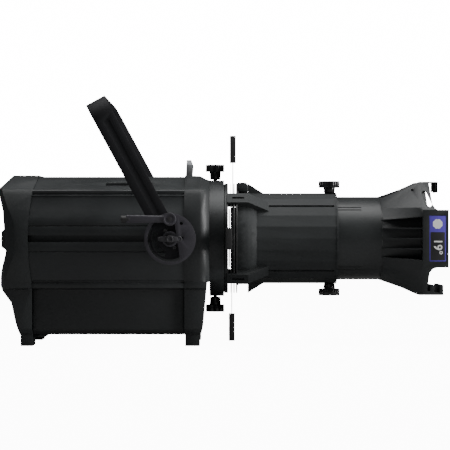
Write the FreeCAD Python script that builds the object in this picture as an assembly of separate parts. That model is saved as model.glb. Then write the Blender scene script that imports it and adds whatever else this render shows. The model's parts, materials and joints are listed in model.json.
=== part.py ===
import FreeCAD, Part
import math
import os

# Ellipsoidal (profile) spotlight with an LED source, in millimetres.
# +X is the way the light goes, +Y is the left side, +Z is up.  The drawing is made about the optical
# axis, and every node is raised by AXIS_HEIGHT when it is written, so the feet stand on Z = 0.

V = FreeCAD.Vector

# ---------------------------------------------------------------- driving dimensions: places along X
REAR_END = -326.6          # rearmost point of the rear cap
CAP_JOINT = -277.0         # rear cap meets the power box
CAP_JOINT_MID = -281.5     # the joint with the main shell bows back to here at the axis
SHELL_FRONT = -57.0        # main shell meets the front casting
CASTING_FRONT = -32.0      # the casting starts to close towards its ring
RING_REAR = -21.0          # rear of the round clamp ring of the casting
RING_FRONT = 0.4           # front of the clamp ring
GATE_FRONT = 20.0          # front of the shutter gate
BELL_FRONT = 36.0          # end of the round bell behind the barrel
BARREL_FRONT = 168.0       # front of the barrel
TUBE_REAR = 72.0           # rear of the lens tube inside the barrel
TUBE_FRONT = 233.0         # tube meets the colour frame holder
HOLDER_PLATE = 289.0       # rear face of the holder's ring plate
FRONT_END = 326.6          # foremost point of the holder
YOKE_X = -76.0             # tilt axis

# ---------------------------------------------------------------- driving dimensions: heights and widths
AXIS_HEIGHT = 156.0        # optical axis above the floor
SHELL_TOP = 92.7
SHELL_HALF_WIDTH = 118.0
SHELL_BOTTOM = -63.0
BOX_INSET = 23.0           # side of the shell to the side of the power box
BOX_HALF_WIDTH = SHELL_HALF_WIDTH - BOX_INSET
BOX_BOTTOM = -139.2
WALL = 3.0                 # sheet and casting wall
SHELL_WALL = 4.6           # extruded shell, with its grooves
SHELL_STEP = 1.2           # the extruded shell lies this much inside the two castings
LEDGE_Z = -71.0            # underside of the ledge over the power box
GAP = 0.3                  # clearance between bodies that move past each other
RUN = 0.05                 # radial clearance of a running shaft in its bore

RING_BORE = 80.5           # the barrel's spigot turns in here
RING_WALL = 6.0
RING_R = RING_BORE + RING_WALL
TUBE_R = 62.0              # lens tube outside
BARREL_WALL = 5.5
BARREL_R = TUBE_R + BARREL_WALL
BEAM_BORE = BARREL_R - 1.5  # light path through the casting
TUBE_WALL = 3.0
LENS_THICK = 14.0

PLATE_R = RING_BORE + 1.5   # shutter gate plates
APERTURE_R = 40.0          # light aperture of the gate
BLADE_WIDTH = 88.0
BLADE_THICK = 1.0
BLADE_GRIP_R = 113.0       # where the grip starts
BLADE_REACH = 153.0        # outer end of the grip
GRIP_WIDTH = 30.0
GRIP_THICK = 8.8
SHUTTER_TRAVEL = 30.0

YOKE_CLEARANCE = 33.0      # side of the shell to the inner face of the yoke arm
YOKE_INNER = SHELL_HALF_WIDTH + YOKE_CLEARANCE
YOKE_THICK = 5.0
YOKE_WIDTH = 30.0
YOKE_HEIGHT = 225.0        # tilt axis to the outer face of the cross bar
YOKE_LEAN = 28.5           # degrees the yoke leans back at rest
PIVOT_R = 6.0
DISC_R = 36.4
DISC_THICK = 4.0
LEVER_UP = 28.0            # lever hub above the tilt axis
LEVER_END = YOKE_INNER + 34.0  # outer face of the levers, from the middle plane
LEVER_LENGTH = 68.0

FRAME_HALF = 79.5          # half of the square colour frame
SLOT_REAR = 310.8          # colour frame slot along X
SLOT_FRONT = 319.5
HOLDER_TOP = FRAME_HALF + 4.5
HOLDER_SIDE = FRAME_HALF + 8.5
FIN_THICK = 1.6

FOOT_OUTER = BOX_HALF_WIDTH - 7.0
FOOT_INNER = FOOT_OUTER - 38.0
FOOT_PAD = 3.0


# ---------------------------------------------------------------- helpers
def box(x0, x1, y0, y1, z0, z1):
    return Part.makeBox(x1 - x0, y1 - y0, z1 - z0, V(x0, y0, z0))


def prism(points, direction):
    wire = Part.makePolygon(points + [points[0]])
    return Part.Face(wire).extrude(direction)


def prism_x(outline, x0, x1):
    return prism([V(x0, y, z) for y, z in outline], V(x1 - x0, 0, 0))


def prism_y(outline, y0, y1):
    return prism([V(x, y0, z) for x, z in outline], V(0, y1 - y0, 0))


def prism_z(outline, z0, z1):
    return prism([V(x, y, z0) for x, y in outline], V(0, 0, z1 - z0))


def rod_x(r, x0, x1, y=0.0, z=0.0):
    return Part.makeCylinder(r, x1 - x0, V(x0, y, z), V(1, 0, 0))


def rod_y(r, y0, y1, x=0.0, z=0.0):
    return Part.makeCylinder(r, y1 - y0, V(x, y0, z), V(0, 1, 0))


def rod_z(r, z0, z1, x=0.0, y=0.0):
    return Part.makeCylinder(r, z1 - z0, V(x, y, z0), V(0, 0, 1))


def tube_x(r_out, r_in, x0, x1):
    return rod_x(r_out, x0, x1).cut(rod_x(r_in, x0 - 1, x1 + 1))


def lathe_x(profile):
    """Turn an (x, r) outline about the optical axis."""
    points = [V(x, 0, r) for x, r in profile]
    face = Part.Face(Part.makePolygon(points + [points[0]]))
    return face.revolve(V(0, 0, 0), V(1, 0, 0), 360)


def both_sides(half):
    """Close an outline given from top to bottom on +Y with its mirror image."""
    return half + [(-y, z) for y, z in reversed(half)]


def join(shapes):
    whole = shapes[0]
    for piece in shapes[1:]:
        whole = whole.fuse(piece)
    return whole.removeSplitter()


def cut(shape, tools):
    for tool in tools:
        shape = shape.cut(tool)
    return shape


def turned_x(shape, degrees):
    turned = shape.copy()
    turned.rotate(V(0, 0, 0), V(1, 0, 0), degrees)
    return turned


def mirrored_y(shape):
    return shape.mirror(V(0, 0, 0), V(0, 1, 0))


def moved(shape, x=0.0, y=0.0, z=0.0):
    shifted = shape.copy()
    shifted.translate(V(x, y, z))
    return shifted


def leaned(shape):
    """Lean a piece of the yoke, drawn upright about its pivot, back to its place."""
    placed = shape.copy()
    placed.rotate(V(0, 0, 0), V(0, 1, 0), -YOKE_LEAN)
    placed.translate(V(YOKE_X, 0, 0))
    return placed


nodes = {}


def node(name, shape):
    """Keep a finished piece under its name, at its real height."""
    nodes[name] = moved(shape, z=AXIS_HEIGHT)


def group(shapes):
    return Part.makeCompound(shapes)


# ---------------------------------------------------------------- sections of the lamp housing
SHOULDER_Y, SHOULDER_Z = SHELL_HALF_WIDTH - 32.0, 75.8
TOP_HALF = SHOULDER_Y - 34.0
RIB_TOP, RIB_BOTTOM = 70.8, 63.5
BELT = 18.0                # half height of the flat belt along each side
SHELL_FOOT_Y = SHELL_HALF_WIDTH - 13.0

SHELL_HALF = [
    (TOP_HALF, SHELL_TOP),
    (SHOULDER_Y, SHOULDER_Z),
    (SHOULDER_Y + 14.0, RIB_TOP),
    (SHOULDER_Y + 18.0, RIB_BOTTOM),
    (SHELL_HALF_WIDTH - 5.0, 40.0),
    (SHELL_HALF_WIDTH, BELT),
    (SHELL_HALF_WIDTH, -BELT),
    (SHELL_HALF_WIDTH - 6.0, -45.0),
    (SHELL_FOOT_Y, SHELL_BOTTOM),
]
LEDGE_Y = SHELL_FOOT_Y + 1.0
BOX_HALF = [
    (BOX_HALF_WIDTH + 5.5, SHELL_BOTTOM),
    (BOX_HALF_WIDTH + 5.5, LEDGE_Z),
    (BOX_HALF_WIDTH, LEDGE_Z - 3.0),
    (BOX_HALF_WIDTH, BOX_BOTTOM + 7.0),
    (BOX_HALF_WIDTH - 7.0, BOX_BOTTOM),
]
SHELL_OUTLINE = both_sides(SHELL_HALF)
BOX_OUTLINE = both_sides(BOX_HALF)


def extrusion_half():
    """The shell's own section: belt grooves, a sloping rib and a ledge over the power box."""
    side = SHELL_HALF_WIDTH - SHELL_STEP
    rib = SHOULDER_Y + 16.0
    groove = 5.0
    groove_depth = 2.2
    line = 1.4
    return [
        (TOP_HALF - 1.0, SHELL_TOP - 2.0),
        (SHOULDER_Y - 1.4, SHOULDER_Z - 0.6), (rib - 9.0, RIB_TOP + 1.4),
        (rib, RIB_BOTTOM + 3.5), (rib, RIB_BOTTOM + 1.5), (rib - line, RIB_BOTTOM + 0.7),
        (rib + 2.4, RIB_BOTTOM - 0.7), (rib + 2.4, RIB_BOTTOM - 1.9), (rib + 1.6, RIB_BOTTOM - 2.6),
        (SHELL_HALF_WIDTH - 6.4, 40.0), (side, BELT + 7.0), (side, BELT + 1.4),
        (side - line, BELT + 1.0), (side - line, BELT), (side, BELT - 0.4),
        (side, groove), (side - groove_depth, groove), (side - groove_depth, -groove), (side, -groove),
        (side, -BELT + 0.4), (side - line, -BELT), (side - line, -BELT - 1.2), (side, -BELT - 1.6),
        (SHELL_HALF_WIDTH - 7.2, -45.0), (LEDGE_Y - 0.5, SHELL_BOTTOM + 3.0),
        (LEDGE_Y - 2.2, SHELL_BOTTOM + 2.0), (LEDGE_Y - 2.2, SHELL_BOTTOM - 0.6),
        (LEDGE_Y - 0.5, SHELL_BOTTOM - 1.4), (LEDGE_Y - 0.5, LEDGE_Z),
        (BOX_HALF_WIDTH + 5.5 + GAP, LEDGE_Z), (BOX_HALF_WIDTH + 5.5 + GAP, SHELL_BOTTOM),
    ]


def inside(half, wall):
    """The half outline moved in by a wall on every side."""
    top = half[0][1] - wall
    bottom = half[-1][1] + wall
    inner = []
    for y, z in half:
        inner.append((y - wall * 1.05, min(top, max(bottom, z - wall * 0.3))))
    return both_sides(inner)


SHELL_INNER = inside(SHELL_HALF, SHELL_WALL)
LEG_Y = BOX_HALF_WIDTH + 6.0
LEG_HALF = [(LEDGE_Y, LEDGE_Z), (LEG_Y, LEDGE_Z - 3.0), (LEG_Y, BOX_BOTTOM + 9.0), (LEG_Y - 8.0, BOX_BOTTOM)]
FULL_HEIGHT_HALF = SHELL_HALF[:-1] + [(LEDGE_Y, SHELL_BOTTOM + 1.0)] + LEG_HALF
FULL_OUTLINE = both_sides(FULL_HEIGHT_HALF)
FULL_INNER = inside(FULL_HEIGHT_HALF, WALL)


def behind_joint():
    """All that lies to the rear of the bowed joint between the rear cap and the main shell."""
    bow = (CAP_JOINT - CAP_JOINT_MID) / SHELL_BOTTOM ** 2
    z_low, z_high = LEDGE_Z - 1.0, SHELL_TOP + 1.0
    steps = 16
    heights = [z_low + (z_high - z_low) * k / steps for k in range(steps + 1)]
    curve = [(CAP_JOINT_MID + bow * z * z, z) for z in heights]
    return prism_y([(REAR_END - 5.0, z_low)] + curve + [(REAR_END - 5.0, z_high)], -140, 140)


def main_shell():
    shell = prism_x(both_sides(extrusion_half()), CAP_JOINT_MID - 1, SHELL_FRONT)
    shell = shell.cut(prism_x(SHELL_INNER, CAP_JOINT_MID - 2, SHELL_FRONT + 1))
    shell = shell.cut(behind_joint())
    deep_to = -104.0           # the belt groove is deep as far as here, and shallow beside the pivot
    vent_rear, vent_front = -172.0, -104.0
    vent_in, vent_out = SHOULDER_Y - 15.5, SHOULDER_Y - 6.0
    boss_hole = 9.0
    for side in (-1, 1):
        backing = box(CAP_JOINT_MID + 1, deep_to + 4, SHELL_HALF_WIDTH - 12, SHELL_HALF_WIDTH - 4, -9, 9)
        groove = box(CAP_JOINT_MID - 1, deep_to, SHELL_HALF_WIDTH - 9, SHELL_HALF_WIDTH + 1, -5, 5)
        bead = rod_x(2.6, CAP_JOINT_MID - 1, SHELL_FRONT, SHOULDER_Y + 14.0, RIB_BOTTOM + 4.6).cut(behind_joint())
        vent = box(vent_rear, vent_front, vent_in, vent_out, RIB_TOP, SHELL_TOP)
        hole = rod_y(boss_hole, SHELL_HALF_WIDTH - 12, SHELL_HALF_WIDTH + 1, YOKE_X, 0)
        if side < 0:
            backing, groove, bead = mirrored_y(backing), mirrored_y(groove), mirrored_y(bead)
            vent, hole = mirrored_y(vent), mirrored_y(hole)
        shell = cut(shell.fuse(backing).fuse(bead), [groove, vent, hole])
    return shell.removeSplitter()


def power_box():
    tray = prism_x(BOX_OUTLINE, CAP_JOINT, SHELL_FRONT)
    inner_half = [(y - WALL, z if z == SHELL_BOTTOM else z + WALL) for y, z in BOX_HALF]
    tray = tray.cut(prism_x(both_sides(inner_half), CAP_JOINT + WALL, SHELL_FRONT - WALL))
    step = box(CAP_JOINT, CAP_JOINT + 17.0, -80, 80, BOX_BOTTOM - 4.8, BOX_BOTTOM)
    return tray.fuse(step).removeSplitter()


# ---------------------------------------------------------------- rear cap
CAP_FRONT = -268.0         # past the front of the bowed joint
CAP_PROFILE = [
    (CAP_FRONT, SHELL_TOP), (-309.0, SHELL_TOP), (REAR_END, 71.0), (REAR_END, 66.0),
    (-319.0, 40.5), (-317.0, 17.7), (-314.0, -20.2), (-321.4, -45.5), (-322.8, -55.6),
    (-322.8, -68.3), (-319.0, -76.0), (-307.0, -92.4), (-301.0, -120.0), (-295.0, BOX_BOTTOM),
    (CAP_FRONT, BOX_BOTTOM),
]
FOOT_REAR = -295.0
PORT_HALF = 78.0           # connector recess
PORT_TOP, PORT_BOTTOM = -76.0, -116.0
PORT_FLOOR = -296.0
PANEL_HALF = 68.0
PANEL_FACE = -325.2


def foot_block(x0, x1):
    legs = []
    for side in (-1, 1):
        y0 = FOOT_INNER if side > 0 else -FOOT_OUTER
        y1 = y0 + FOOT_OUTER - FOOT_INNER
        legs.append(box(x0, x1, y0, y1, -AXIS_HEIGHT + FOOT_PAD, BOX_BOTTOM))
    return legs


def rear_cap():
    wide = SHELL_HALF_WIDTH
    plan_half = [(CAP_FRONT, wide + 1), (-294.0, wide + 1), (-301.0, wide - 1.0),
                 (-310.0, wide - 6.0), (-318.0, wide - 14.0), (REAR_END, wide - 30.0)]
    plan = plan_half + [(x, -y) for x, y in reversed(plan_half)]
    limit = prism_z(plan, BOX_BOTTOM - 1, SHELL_TOP + 1)
    behind = behind_joint().common(box(REAR_END - 5, CAP_FRONT, -140, 140, SHELL_BOTTOM, SHELL_TOP + 1))
    behind = behind.fuse(box(REAR_END - 5, CAP_JOINT, -140, 140, BOX_BOTTOM - 1, SHELL_BOTTOM))
    outer = prism_y(CAP_PROFILE, -130, 130).common(prism_x(FULL_OUTLINE, REAR_END - 1, CAP_FRONT))
    outer = outer.common(limit).common(behind)
    inner_profile = [(CAP_FRONT + 1, SHELL_TOP - WALL), (-307.0, SHELL_TOP - WALL), (-322.0, 69.0),
                     (-315.0, 40.0), (-313.0, 17.0), (-310.0, -20.0), (-317.0, -46.0),
                     (-318.4, -56.0), (-318.4, -67.0), (-315.0, -75.0), (-303.0, -91.0),
                     (-297.0, -119.0), (-291.5, BOX_BOTTOM + WALL), (CAP_FRONT + 1, BOX_BOTTOM + WALL)]
    plan_in = [(x + 3.6, y - 3.6) for x, y in plan_half]
    plan_in = plan_in + [(x, -y) for x, y in reversed(plan_in)]
    inner = prism_y(inner_profile, -130, 130).common(prism_x(FULL_INNER, REAR_END, CAP_FRONT + 1))
    inner = inner.common(prism_z(plan_in, BOX_BOTTOM, SHELL_TOP))
    cap = outer.cut(inner)
    recess = box(-330, PORT_FLOOR, -PORT_HALF - 3, PORT_HALF + 3, PORT_BOTTOM - 3, PORT_TOP + 3)
    cap = cap.fuse(recess.common(outer))
    cap = cap.cut(box(-335, PORT_FLOOR + 1, -PORT_HALF, PORT_HALF, PORT_BOTTOM, PORT_TOP))
    web = box(CAP_JOINT - 4, CAP_JOINT, -LEDGE_Y + 2, LEDGE_Y - 2, LEDGE_Z - 4, SHELL_BOTTOM)
    cap = cap.fuse(web)
    for leg in foot_block(FOOT_REAR, CAP_JOINT):
        cap = cap.fuse(leg)
    # air outlets across the back
    for slot in range(11):
        y_mid = -75.0 + slot * 15.0
        cap = cap.cut(box(-335, -310, y_mid - 3, y_mid + 3, 26, 60))
        cap = cap.cut(box(-335, -310, y_mid - 3, y_mid + 3, -50, -32))
    return cap.removeSplitter()


def control_panel():
    face = [(-317.0, 17.7), (PANEL_FACE, 10.0), (PANEL_FACE, -12.4), (-314.0, -20.2)]
    panel = prism_y(face, -PANEL_HALF, PANEL_HALF)
    panel = panel.cut(box(-330, PANEL_FACE + 2.2, -52, 6, -9.5, 7.5))
    for y in BUTTON_Y:
        panel = panel.cut(rod_x(BUTTON_R + GAP, -330, BUTTON_POCKET, y, BUTTON_Z))
    return panel


BUTTON_R = 4.2
BUTTON_Z = -1.0
BUTTON_Y = (18.0, 30.0, 42.0, 54.0)
BUTTON_NAMES = ("menu", "up", "down", "enter")
BUTTON_TRAVEL = 1.0
BUTTON_POCKET = -319.6


def menu_button(y):
    stem = rod_x(BUTTON_R, REAR_END + 0.6, BUTTON_POCKET - BUTTON_TRAVEL - GAP, y, BUTTON_Z)
    cap = Part.makeCone(BUTTON_R - 0.6, BUTTON_R, 0.6, V(REAR_END, y, BUTTON_Z), V(1, 0, 0))
    return stem.fuse(cap).removeSplitter()


# ---------------------------------------------------------------- front casting
CASTING_EDGE_TOP = -26.0
NOSE_START = -35.0


def nose():
    """The block of the casting: its front edge is rounded more and more towards the ring."""
    # along X, then how far the sides and the top have drawn in
    stations = ((SHELL_FRONT, 0.0, 0.0), (NOSE_START, 0.0, 0.8), (NOSE_START + 3.5, 0.9, 2.4),
                (NOSE_START + 7.0, 3.0, 4.4), (NOSE_START + 10.0, 6.4, 5.8), (RING_REAR, 12.0, 6.8))
    sections = []
    for x, side_in, top_in in stations:
        half = [(y - side_in * y / SHELL_HALF_WIDTH, z - (top_in if z == SHELL_TOP else 0.0))
                for y, z in SHELL_HALF]
        sections.append(Part.makePolygon([V(x, y, z) for y, z in both_sides(half) + [half[0]]]))
    return Part.makeLoft(sections, True, True)


def front_casting():
    ledge = box(SHELL_FRONT, CASTING_EDGE_TOP, -LEDGE_Y, LEDGE_Y, LEDGE_Z, SHELL_BOTTOM + 1)
    lower_profile = [(SHELL_FRONT, SHELL_BOTTOM), (CASTING_EDGE_TOP, SHELL_BOTTOM),
                     (CASTING_EDGE_TOP, LEDGE_Z), (CASTING_FRONT, BOX_BOTTOM + 3.0),
                     (CASTING_FRONT - 3.0, BOX_BOTTOM), (SHELL_FRONT, BOX_BOTTOM)]
    lower = prism_y(lower_profile, -110, 110).common(prism_x(both_sides([(LEDGE_Y, SHELL_BOTTOM)] + LEG_HALF), SHELL_FRONT, RING_REAR))
    lower_in = [(SHELL_FRONT - 1, SHELL_BOTTOM - 6), (CASTING_EDGE_TOP - 5, SHELL_BOTTOM - 10),
                (CASTING_FRONT - 5, BOX_BOTTOM + 5), (SHELL_FRONT - 1, BOX_BOTTOM + 5)]
    lower = lower.cut(prism_y(lower_in, -BOX_HALF_WIDTH + 5, BOX_HALF_WIDTH - 5))
    ring = rod_x(RING_R, RING_REAR, RING_FRONT)
    casting = nose().fuse(ledge).fuse(lower).fuse(ring)
    hollow = prism_x(SHELL_INNER, SHELL_FRONT - 1, CASTING_FRONT - 6)
    casting = casting.cut(hollow)
    casting = casting.cut(rod_x(BEAM_BORE, SHELL_FRONT - 1, RING_FRONT + 1))
    casting = casting.cut(rod_x(RING_BORE, RING_REAR + 2.0, RING_FRONT + 1))
    for leg in foot_block(SHELL_FRONT + 1, CASTING_FRONT - 3):
        casting = casting.fuse(leg)
    for side in (-1, 1):
        casting = casting.cut(rod_z(KNOB_STUD_R + RUN, RING_BORE - 2, RING_R + 2, LOCK_X, 0)
                              if side > 0 else
                              rod_z(KNOB_STUD_R + RUN, -RING_R - 2, -RING_BORE + 2, LOCK_X, 0))
    return casting.removeSplitter()


def safety_eye():
    top = 117.0
    plate = prism_y([(-56.5, SHELL_TOP), (-55.5, top), (-48.5, top), (-45.5, top - 9.0),
                     (-47.0, SHELL_TOP)], -20, 20)
    outline = [(-20, SHELL_TOP), (-16, top - 7.0), (-9, top), (9, top), (16, top - 7.0), (20, SHELL_TOP)]
    plate = plate.common(prism_x(outline, -60, -40))
    return plate.cut(rod_x(SAFETY_R, -60, -40, 0, SAFETY_Z))


SAFETY_R = 6.5
SAFETY_Z = 104.5

# ---------------------------------------------------------------- knobs
KNOB_STUD_R = 3.0
LOCK_X = -13.0
LOCK_KNOB = dict(cap_r=14.25, cap_h=12.0, neck_r=7.85, base=RING_R + GAP, cap_base=RING_R + 11.5,
                 stud_to=RING_BORE + 1.0)
FOCUS_X = BARREL_FRONT - 10.0
FOCUS_KNOB = dict(cap_r=16.0, cap_h=10.5, neck_r=7.85, base=BARREL_R + GAP, cap_base=BARREL_R + 7.5,
                  stud_to=TUBE_R + 1.2)


def star_knob(x, size, down):
    cap = rod_z(size["cap_r"], size["cap_base"], size["cap_base"] + size["cap_h"], x)
    lobes = 7
    for turn in range(lobes):
        angle = 2 * math.pi * (turn + 0.5) / lobes
        r = size["cap_r"] + 2.2
        flute = rod_z(4.2, size["cap_base"] - 1, size["cap_base"] + size["cap_h"] + 1,
                      x + r * math.cos(angle), r * math.sin(angle))
        cap = cap.cut(flute)
    neck = rod_z(size["neck_r"], size["base"], size["cap_base"], x)
    stud = rod_z(KNOB_STUD_R, size["stud_to"], size["base"], x)
    knob = cap.fuse(neck).fuse(stud).removeSplitter()
    return turned_x(knob, 180) if down else knob


# ---------------------------------------------------------------- inside the housing
DECK = SHELL_BOTTOM + SHELL_WALL  # floor inside the main shell


def heat_sink():
    base = box(-212, -202, -60, 60, DECK, 60)
    fins = [box(-250, -212, y, y + 2.5, DECK, 60) for y in range(-60, 60, 9)]
    return join([base] + fins)


def fan_frame():
    frame = box(-276, -254, -58, 58, FAN_Z - 58, FAN_Z + 58)
    frame = frame.cut(rod_x(54, -277, -253, 0, FAN_Z))
    spokes = [box(-276, -272, -57, 57, FAN_Z - 2, FAN_Z + 2), box(-276, -272, -2, 2, FAN_Z - 57, FAN_Z + 57)]
    hub = rod_x(18, -276, -272, 0, FAN_Z)
    frame = join([frame, hub] + [s.common(rod_x(55, -277, -270, 0, FAN_Z)) for s in spokes])
    pin = rod_x(FAN_PIN_R, -272, -258, 0, FAN_Z)
    return frame.fuse(pin).removeSplitter()


FAN_Z = DECK + 58.0
FAN_PIN_R = 3.0
FAN_R = 51.0


def fan_rotor():
    hub = rod_x(17, -270, -256, 0, FAN_Z)
    blades = []
    for turn in range(7):
        blade = box(-268, -258, 16, FAN_R, -1.2, 1.2)
        blade.rotate(V(-263, 0, 0), V(0, 1, 0), 35)
        blade.rotate(V(0, 0, 0), V(1, 0, 0), turn * 360.0 / 7)
        blades.append(moved(blade, z=FAN_Z))
    rotor = join([hub] + blades)
    limit = rod_x(FAN_R, -271, -255, 0, FAN_Z)
    return rotor.common(limit).cut(rod_x(FAN_PIN_R + RUN, -275, -250, 0, FAN_Z))


def light_source():
    node("led_board", box(-202, -198, -40, 40, -40, 40))
    chips = []
    for row in range(5):
        for column in range(5):
            y = -16 + column * 8.0
            z = -16 + row * 8.0
            chips.append(box(-198, -195.5, y - 3, y + 3, z - 3, z + 3))
    node("led_array", group(chips))
    rod = Part.makeCone(30, 20, 70, V(-195, 0, 0), V(1, 0, 0))
    node("mixing_rod", rod)
    holder = box(-134, -128, -60, 60, DECK, 60).cut(rod_x(21.5, -135, -127))
    node("rod_holder", holder)
    node("condenser_lens", lathe_x(lens_profile(-74.0, 56.0, 16.0)))
    mount = tube_x(-DECK - 0.1, 56.3, -80, -60)
    foot = box(-80, -60, -40, 40, DECK, -52).cut(rod_x(57, -81, -59))
    node("condenser_mount", join([mount, foot]))


def lens_profile(x_mid, r, thick):
    """A lens with a flat back and a crowned front, as an (x, r) outline."""
    steps = 8
    edge = thick * 0.35
    points = [(x_mid - thick / 2, 0.0)]
    points.append((x_mid - thick / 2, r))
    for step in range(steps + 1):
        share = 1.0 - step / steps
        points.append((x_mid - thick / 2 + edge + (thick - edge) * (1 - share * share), r * share))
    return points


# ---------------------------------------------------------------- barrel that turns in the ring
def gate_flange():
    """The turning spigot inside the clamp ring and the round plate that closes it."""
    spigot = tube_x(RING_BORE - GAP, BEAM_BORE, RING_REAR + 2.0 + GAP, RING_FRONT + GAP)
    plate = tube_x(PLATE_R, BEAM_BORE, RING_FRONT + GAP, PLATE_REAR)
    groove = tube_x(RING_BORE, RING_BORE - 3.0, LOCK_X - 4.0, LOCK_X + 4.0)
    return join([spigot, plate]).cut(groove)


PLATE_REAR = 4.6
# shutter gate from back to front: plate, two side blades, spacer, bottom and top blades, plate, plate
GATE_PLATES = ((PLATE_REAR, 6.4), (10.2, 10.8), (14.6, 16.0), (18.4, GATE_FRONT))
BLADE_X = dict(right=7.0, left=8.6, bottom=11.4, top=13.0)
BLADE_TURN = dict(top=0, right=90, bottom=180, left=270)
ARM_INNER, ARM_OUTER, ARM_HALF = PLATE_R - 5.6, PLATE_R + 2.5, 9.5
CHEEK_REAR, CHEEK_HALF = 11.0, 46.0
CHEEK_IN, CHEEK_OUT = BARREL_R - 1.5, PLATE_R - 7.0


def bridge_arm(x0, x1, extra=0.0):
    return box(x0, x1, -ARM_HALF - extra, ARM_HALF + extra, ARM_INNER - extra, ARM_OUTER + extra)


def cheeks(x0, x1, clear=0.0):
    """The two side walls of the barrel that close the gate, beside the upper and lower blades."""
    band = CHEEK_HALF + clear
    return tube_x(CHEEK_OUT + clear, CHEEK_IN - clear, x0, x1).common(box(x0, x1, -90, 90, -band, band))


def gate_plate(x0, x1):
    plate = tube_x(PLATE_R, APERTURE_R, x0, x1)
    for corner in range(4):
        plate = plate.cut(turned_x(bridge_arm(x0 - 1, x1 + 1), 45 + 90 * corner))
    if x0 > CHEEK_REAR:
        plate = plate.cut(cheeks(x0 - 1, x1 + 1, 0.1))
    return plate


def barrel_shell():
    """The bell, its four bridging arms and the long barrel, cast in one piece."""
    facets = 24
    bell = lathe_x([(GATE_FRONT, BARREL_R + 1.5), (BELL_FRONT, BARREL_R + 1.5), (BELL_FRONT + 4, BARREL_R),
                    (BELL_FRONT + 4, TUBE_R + 1.0), (GATE_FRONT, TUBE_R + 1.0)])
    corner = [(BARREL_R * math.cos(math.radians(15 * k)), BARREL_R * math.sin(math.radians(15 * k)))
              for k in range(facets)]
    barrel = prism_x(corner, BELL_FRONT + 2, BARREL_FRONT).cut(rod_x(TUBE_R + GAP, BELL_FRONT, BARREL_FRONT + 1))
    lip = tube_x(BARREL_R + 0.6, TUBE_R + GAP, BARREL_FRONT - 2, BARREL_FRONT)
    shell = bell.fuse(barrel).fuse(lip).fuse(cheeks(CHEEK_REAR, GATE_FRONT))
    shoulder = lathe_x([(GATE_FRONT, CHEEK_IN), (GATE_FRONT, CHEEK_OUT), (30.0, CHEEK_OUT + 0.6),
                        (37.0, CHEEK_OUT - 0.8), (43.0, BARREL_R + 4.1), (49.0, BARREL_R - 1.0),
                        (49.0, CHEEK_IN - 1.0)])
    shell = shell.fuse(shoulder.common(box(GATE_FRONT, 60, -90, 90, -CHEEK_HALF - 12, CHEEK_HALF + 12)))
    for k in range(4):
        arm = bridge_arm(PLATE_REAR, BELL_FRONT)
        web = prism_y([(GATE_FRONT, BARREL_R - 2), (GATE_FRONT, ARM_OUTER), (BELL_FRONT, ARM_OUTER),
                       (66.0, BARREL_R - 0.5), (66.0, BARREL_R - 3)], -ARM_HALF, ARM_HALF)
        window = box(12.3, 30.0, -1.8, 1.8, ARM_INNER - 1, ARM_OUTER + 1)
        arm = arm.fuse(web).cut(window)
        shell = shell.fuse(turned_x(arm, 45 + 90 * k))
    for k in range(4):
        groove = box(66.0, BARREL_FRONT - 5, -2, 2, BARREL_R - 2.6, BARREL_R + 1)
        shell = shell.cut(turned_x(groove, 45 + 90 * k))
    # gussets behind the bell, above and below
    for turn in (0, 180):
        gusset = prism_y([(BELL_FRONT, BARREL_R - 2), (BELL_FRONT, PLATE_R), (60.0, BARREL_R - 0.6),
                          (60.0, BARREL_R - 2)], -3, 3)
        shell = shell.fuse(turned_x(gusset, turn))
    shell = shell.cut(rod_x(TUBE_R + GAP, GATE_FRONT - 1, BARREL_FRONT + 1))
    for k in (0, 180):
        shell = shell.cut(turned_x(rod_z(KNOB_STUD_R + RUN, TUBE_R - 1, BARREL_R + 2, FOCUS_X), k))
    return shell.removeSplitter()


def slot_cover():
    """The block over the accessory slot on top of the gate."""
    crest = PLATE_R + 0.8
    profile = [(GATE_FRONT, BARREL_R + 1.5), (GATE_FRONT, crest), (33.0, crest), (BELL_FRONT, crest - 3.8),
               (BELL_FRONT, BARREL_R + 1.5)]
    half = 30.0
    block = prism_y(profile, -half, half)
    return block.cut(rod_x(BARREL_R + 1.5, GATE_FRONT - 1, BELL_FRONT + 1))


def blade(side):
    x0 = BLADE_X[side]
    outline = [(-BLADE_WIDTH / 2, APERTURE_R), (BLADE_WIDTH / 2, APERTURE_R),
               (BLADE_WIDTH / 2, BLADE_GRIP_R - 16), (12.0, BLADE_GRIP_R), (12.0, BLADE_REACH - 6),
               (-12.0, BLADE_REACH - 6), (-12.0, BLADE_GRIP_R), (-BLADE_WIDTH / 2, BLADE_GRIP_R - 16)]
    return turned_x(prism_x(outline, x0, x0 + BLADE_THICK), BLADE_TURN[side])


def grip(side):
    x_mid = BLADE_X[side] + BLADE_THICK / 2
    half = GRIP_THICK / 2
    body = box(x_mid - half, x_mid + half, -GRIP_WIDTH / 2, GRIP_WIDTH / 2, BLADE_GRIP_R, BLADE_REACH)
    body = body.makeFillet(1.6, [e for e in body.Edges])
    body = body.cut(box(BLADE_X[side], BLADE_X[side] + BLADE_THICK, -12, 12, BLADE_GRIP_R - 1, BLADE_REACH - 6))
    return turned_x(body, BLADE_TURN[side])


# ---------------------------------------------------------------- lens tube and colour frame holder
def lens_tube():
    tube = tube_x(TUBE_R, TUBE_R - TUBE_WALL, TUBE_REAR, TUBE_FRONT)
    for k in range(4):
        for offset in (-2.6, 2.6):
            key = box(96.0, 203.0, offset - 0.7, offset + 0.7, TUBE_R - 1.0, TUBE_R + 1)
            tube = tube.cut(turned_x(key, 45 + 90 * k))
    return tube


REAR_LENS_X = 100.0
FRONT_LENS_X = 222.0
LENS_R = TUBE_R - TUBE_WALL - 0.3


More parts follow.
